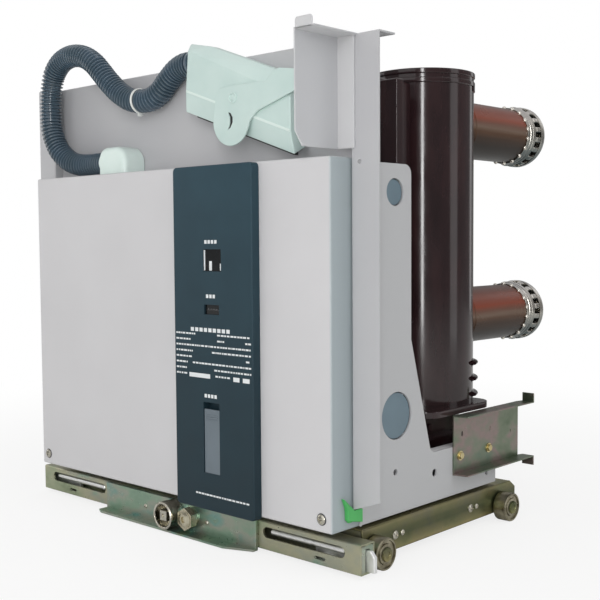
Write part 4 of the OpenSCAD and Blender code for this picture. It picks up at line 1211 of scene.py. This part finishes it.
plateLow, plateHigh = span("centre_plate")
plateFront = span("drive_sleeve")[1].y
lipTop = plateLow.z + thick
sheetPart = block("plate", (plateLow.x, plateFront, plateLow.z), plateHigh)
softened(sheetPart, 1.2, 3)
half, lipFront, cut = plateHigh.x, plateLow.y, 24
lipPart = plan("lip", [(-half, plateFront + 2), (-half, lipFront + cut / 4), (-half + cut / 2, lipFront),
                       (half - 1.7 * cut, lipFront), (half, plateFront - 4), (half, plateFront + 2)],
               plateLow.z, lipTop)
softened(lipPart, 0.9, 3)
for piece in (sheetPart, lipPart):
    drilled(piece, rod("hole", (0, plateFront - 5, screwZ), "Y", bore, 20, 48))
smallX, smallZ = beamLook["screwAt"]
plateScrews = [roundHead("screw", (x, plateFront, smallZ), "Y", 3.2, -1.8) for x in (smallX, -smallX)]
done(joined("centrePlate", [sheetPart, lipPart]), "zincGreen", "beam", ["centre_plate"])
done(joined("centrePlateScrews", plateScrews), "zincClear", "beam")

low, high = span("drive_sleeve")
r = (high.z - low.z) / 2
sleeve = turned("driveSleeve", (0, 0, screwZ), "Y", [
    (high.y, bore), (high.y, r - 0.6), (high.y - 0.8, r), (low.y + 9, r), (low.y + 8, r - 0.7),
    (low.y + 6.5, r - 0.7), (low.y + 5.5, r), (low.y + 1, r), (low.y, r - 0.9), (low.y, r - 2.6),
    (low.y + 0.8, r - 3.4), (high.y - 2, r - 3.4), (high.y - 2, bore)], 64, True)
done(sleeve, "zincClear", "beam", ["drive_sleeve"])

hexLook = {"flats": 27.6, "long": 12, "neck": 12}
low, high = span("interlock_hex")
hexX, hexLong, neck = (low.x + high.x) / 2, hexLook["long"], hexLook["neck"]
neckFront = low.y + hexLong
hexShell = hexHead("hex", (hexX, neckFront, screwZ), "Y", hexLook["flats"], -hexLong + 2)
hexShells = [hexShell, turned("hexNeck", (hexX, 0, screwZ), "Y", [
    (high.y, 0), (high.y, neck), (neckFront + 2.5, neck), (neckFront + 2, neck + 1.4),
    (neckFront - 0.5, neck + 1.4), (neckFront - 1, 8), (neckFront - 1, 0)], 40),
    turned("hexKnob", (hexX, 0, screwZ), "Y", [
        (low.y + 4, 0), (low.y + 4, 12.6), (low.y + 1.5, 12), (low.y + 1, 9), (low.y + 0.2, 8), (low.y, 6.5),
        (low.y, 4.6), (low.y + 3, 3.8), (low.y + 3, 0)], 40)]
done(joined("interlockHex", hexShells), "nickelPlate", "beam", ["interlock_hex"])

screwLook = {"square": 14, "collar": 14, "radius": 10, "root": 8.4, "pitch": 5}
low, high = span("racking_screw")
collarEnd = span("racking_beam")[1].y + 3
half, collar, r, root = screwLook["square"] / 2, screwLook["collar"], screwLook["radius"], screwLook["root"]
square = block("square", (-half, low.y, screwZ - half), (half, plateFront - 1.5, screwZ + half), 0.8, 2)
drilled(square, rod("dimple", (0, low.y - 1, screwZ), "Y", 2.6, 3))
thread = [(plateFront - 2, 0), (plateFront - 2, collar), (collarEnd - 0.6, collar),
          (collarEnd, collar - 0.6), (collarEnd, r), (collarEnd + 5, r)]
along = collarEnd + 6
while along < high.y - screwLook["pitch"]:
    thread += [(along, root), (along + 1.6, root), (along + 2.5, r), (along + 4.2, r)]
    along += screwLook["pitch"]
thread += [(along, root), (high.y - 1, root), (high.y, root - 1), (high.y, 0)]
done(joined("rackingScrew", [square, turned("thread", (0, 0, screwZ), "Y", thread, 32)]),
     "zincClear", "screw", ["racking_screw"])

latchLook = {
    "pull": 4.6, "pullZ": 28, "from": 174, "to": 298, "knuckle": 245,
    "tongueIn": 246, "tongueThick": 6, "edge": 0.9,
}
low, high = span("latch_right")
pullDepth, pullZ, tongueIn = low.y + latchLook["pull"], latchLook["pullZ"], latchLook["tongueIn"]
r, start, end, knuckle = (latchLook[k] for k in ("pull", "from", "to", "knuckle"))
profile = [(start, 0), (start + 0.4, r * 0.6), (start + 2, r), (knuckle - 7, r - 0.3), (knuckle - 5, r),
           (knuckle - 2, r - 0.9), (knuckle + 2, r - 0.9), (knuckle + 5, r), (knuckle + 7, r - 0.3),
           (end - 2, r), (end - 0.4, r * 0.6), (end, 0)]
pull = turned("pull", (0, pullDepth, pullZ), "X", profile, 28)
tongue = faceOn("tongue", [(tongueIn, low.z), (high.x, low.z), (high.x, high.z - 7), (high.x - 6, high.z),
                           (tongueIn, high.z)], high.y - latchLook["tongueThick"], high.y)
softened(tongue, latchLook["edge"], 3)
latch = joined("latchRight", [pull, tongue])
done(mirrored(latch, "latchLeft"), "latchChrome", "latch_l", ["latch_left"])
done(latch, "latchChrome", "latch_r", ["latch_right"])
print("racking beam, screw and latches made")


# the floor lightens to plain white between near and far, so that no horizon shows
studio = {
    "floor": "F4F4F2",
    "size": 8.0,        # metres, like near and far
    "near": 0.5,
    "far": 1.5,
    "share": 0.8,       # how far the floor is plain white where the breaker stands
    "horizon": 0.25,    # strength of the light from the sides and from below
    "zenith": 0.78,     # strength of the light from above
}

clearPick()
bpy.ops.mesh.primitive_plane_add(size=studio["size"], location=(0, 0, 0))
floor = bpy.context.object
floor.name = "floor"
openEdit(floor)
bpy.ops.mesh.subdivide(number_cuts=3)
closeEdit()
material, shader, place = newFinish("studioPaper")
setShader(material, shader, colour=tint(studio["floor"]), rough=0.9)
path = addNode(material, "ShaderNodeLightPath")
glow = addNode(material, "ShaderNodeEmission", {"Color": (1, 1, 1, 1), "Strength": 1.0})
reach = addNode(material, "ShaderNodeVectorMath", {0: place}, operation="LENGTH")
fade = addNode(material, "ShaderNodeMapRange", {
    "Value": reach.outputs["Value"], "From Min": studio["near"], "From Max": studio["far"],
    "To Min": studio["share"], "To Max": 1.0}, interpolation_type="SMOOTHSTEP")
share = addNode(material, "ShaderNodeMath", {0: path.outputs["Is Camera Ray"], 1: fade.outputs["Result"]},
                operation="MULTIPLY")
mix = addNode(material, "ShaderNodeMixShader", {
    0: share.outputs[0], 1: shader.outputs[0], 2: glow.outputs[0]})
tree = material.node_tree
tree.links.new(mix.outputs[0], tree.nodes["Material Output"].inputs["Surface"])
floor.data.materials.append(material)


def lamp(name, place, target, size, power):
    light = bpy.data.lights.new(name, "AREA")
    light.shape = "RECTANGLE"
    light.size, light.size_y = size
    light.energy = power
    item = bpy.data.objects.new(name, light)
    bpy.context.scene.collection.objects.link(item)
    item.location = place
    item.rotation_euler = (Vector(target) - Vector(place)).to_track_quat("-Z", "Y").to_euler()


def around(angle, distance, height):
    # angle is counted from the camera's side, to the right
    a = math.radians(viewpoint["turn"] + angle)
    return (distance * math.sin(a), -distance * math.cos(a), height)


# the tall strips give the upright highlights on the poles, and the high softboxes the even light
lamp("frontSoftbox", around(-36, 2.7, 1.15), (0, 0, 0.3), (1.9, 1.9), 9)
lamp("leftFill", around(-110, 2.4, 0.75), (0, 0, 0.4), (1.3, 1.0), 5)
lamp("sideSoftbox", around(55, 2.2, 2.4), (0, 0, 0.3), (1.2, 1.2), 3.8)
lamp("frontStrip", around(-2.6, 3.0, 0.9), (0.2, 0, 0.35), (0.26, 1.8), 26)
lamp("rightStrip", around(66, 2.5, 0.8), (0.2, 0, 0.35), (0.8, 1.6), 4.6)
lamp("rearStrip", around(125, 2.4, 0.9), (0.2, 0.2, 0.35), (0.5, 1.6), 2)

world = bpy.data.worlds.new("studio")
bpy.context.scene.world = world
world.use_nodes = True
background = world.node_tree.nodes["Background"]
background.inputs["Color"].default_value = (1, 1, 1, 1)
path = addNode(world, "ShaderNodeLightPath")
seen = addNode(world, "ShaderNodeMath", {
    0: path.outputs["Is Camera Ray"], 1: path.outputs["Is Transmission Ray"]}, operation="MAXIMUM")
# the light that falls on the object comes mostly from above, and what is seen of the world is plain white
aim = addNode(world, "ShaderNodeTexCoord")
parts = addNode(world, "ShaderNodeSeparateXYZ", {0: aim.outputs["Generated"]})
dome = addNode(world, "ShaderNodeMapRange", {
    "Value": parts.outputs["Z"], "From Min": 0.15, "From Max": 0.8,
    "To Min": studio["horizon"], "To Max": studio["zenith"]})
strength = addNode(world, "ShaderNodeMix", {"Factor": seen.outputs[0], "A": dome.outputs["Result"], "B": 1.0})
world.node_tree.links.new(strength.outputs["Result"], background.inputs["Strength"])

bpy.context.scene.view_settings.view_transform = "Standard"
print("scene made")
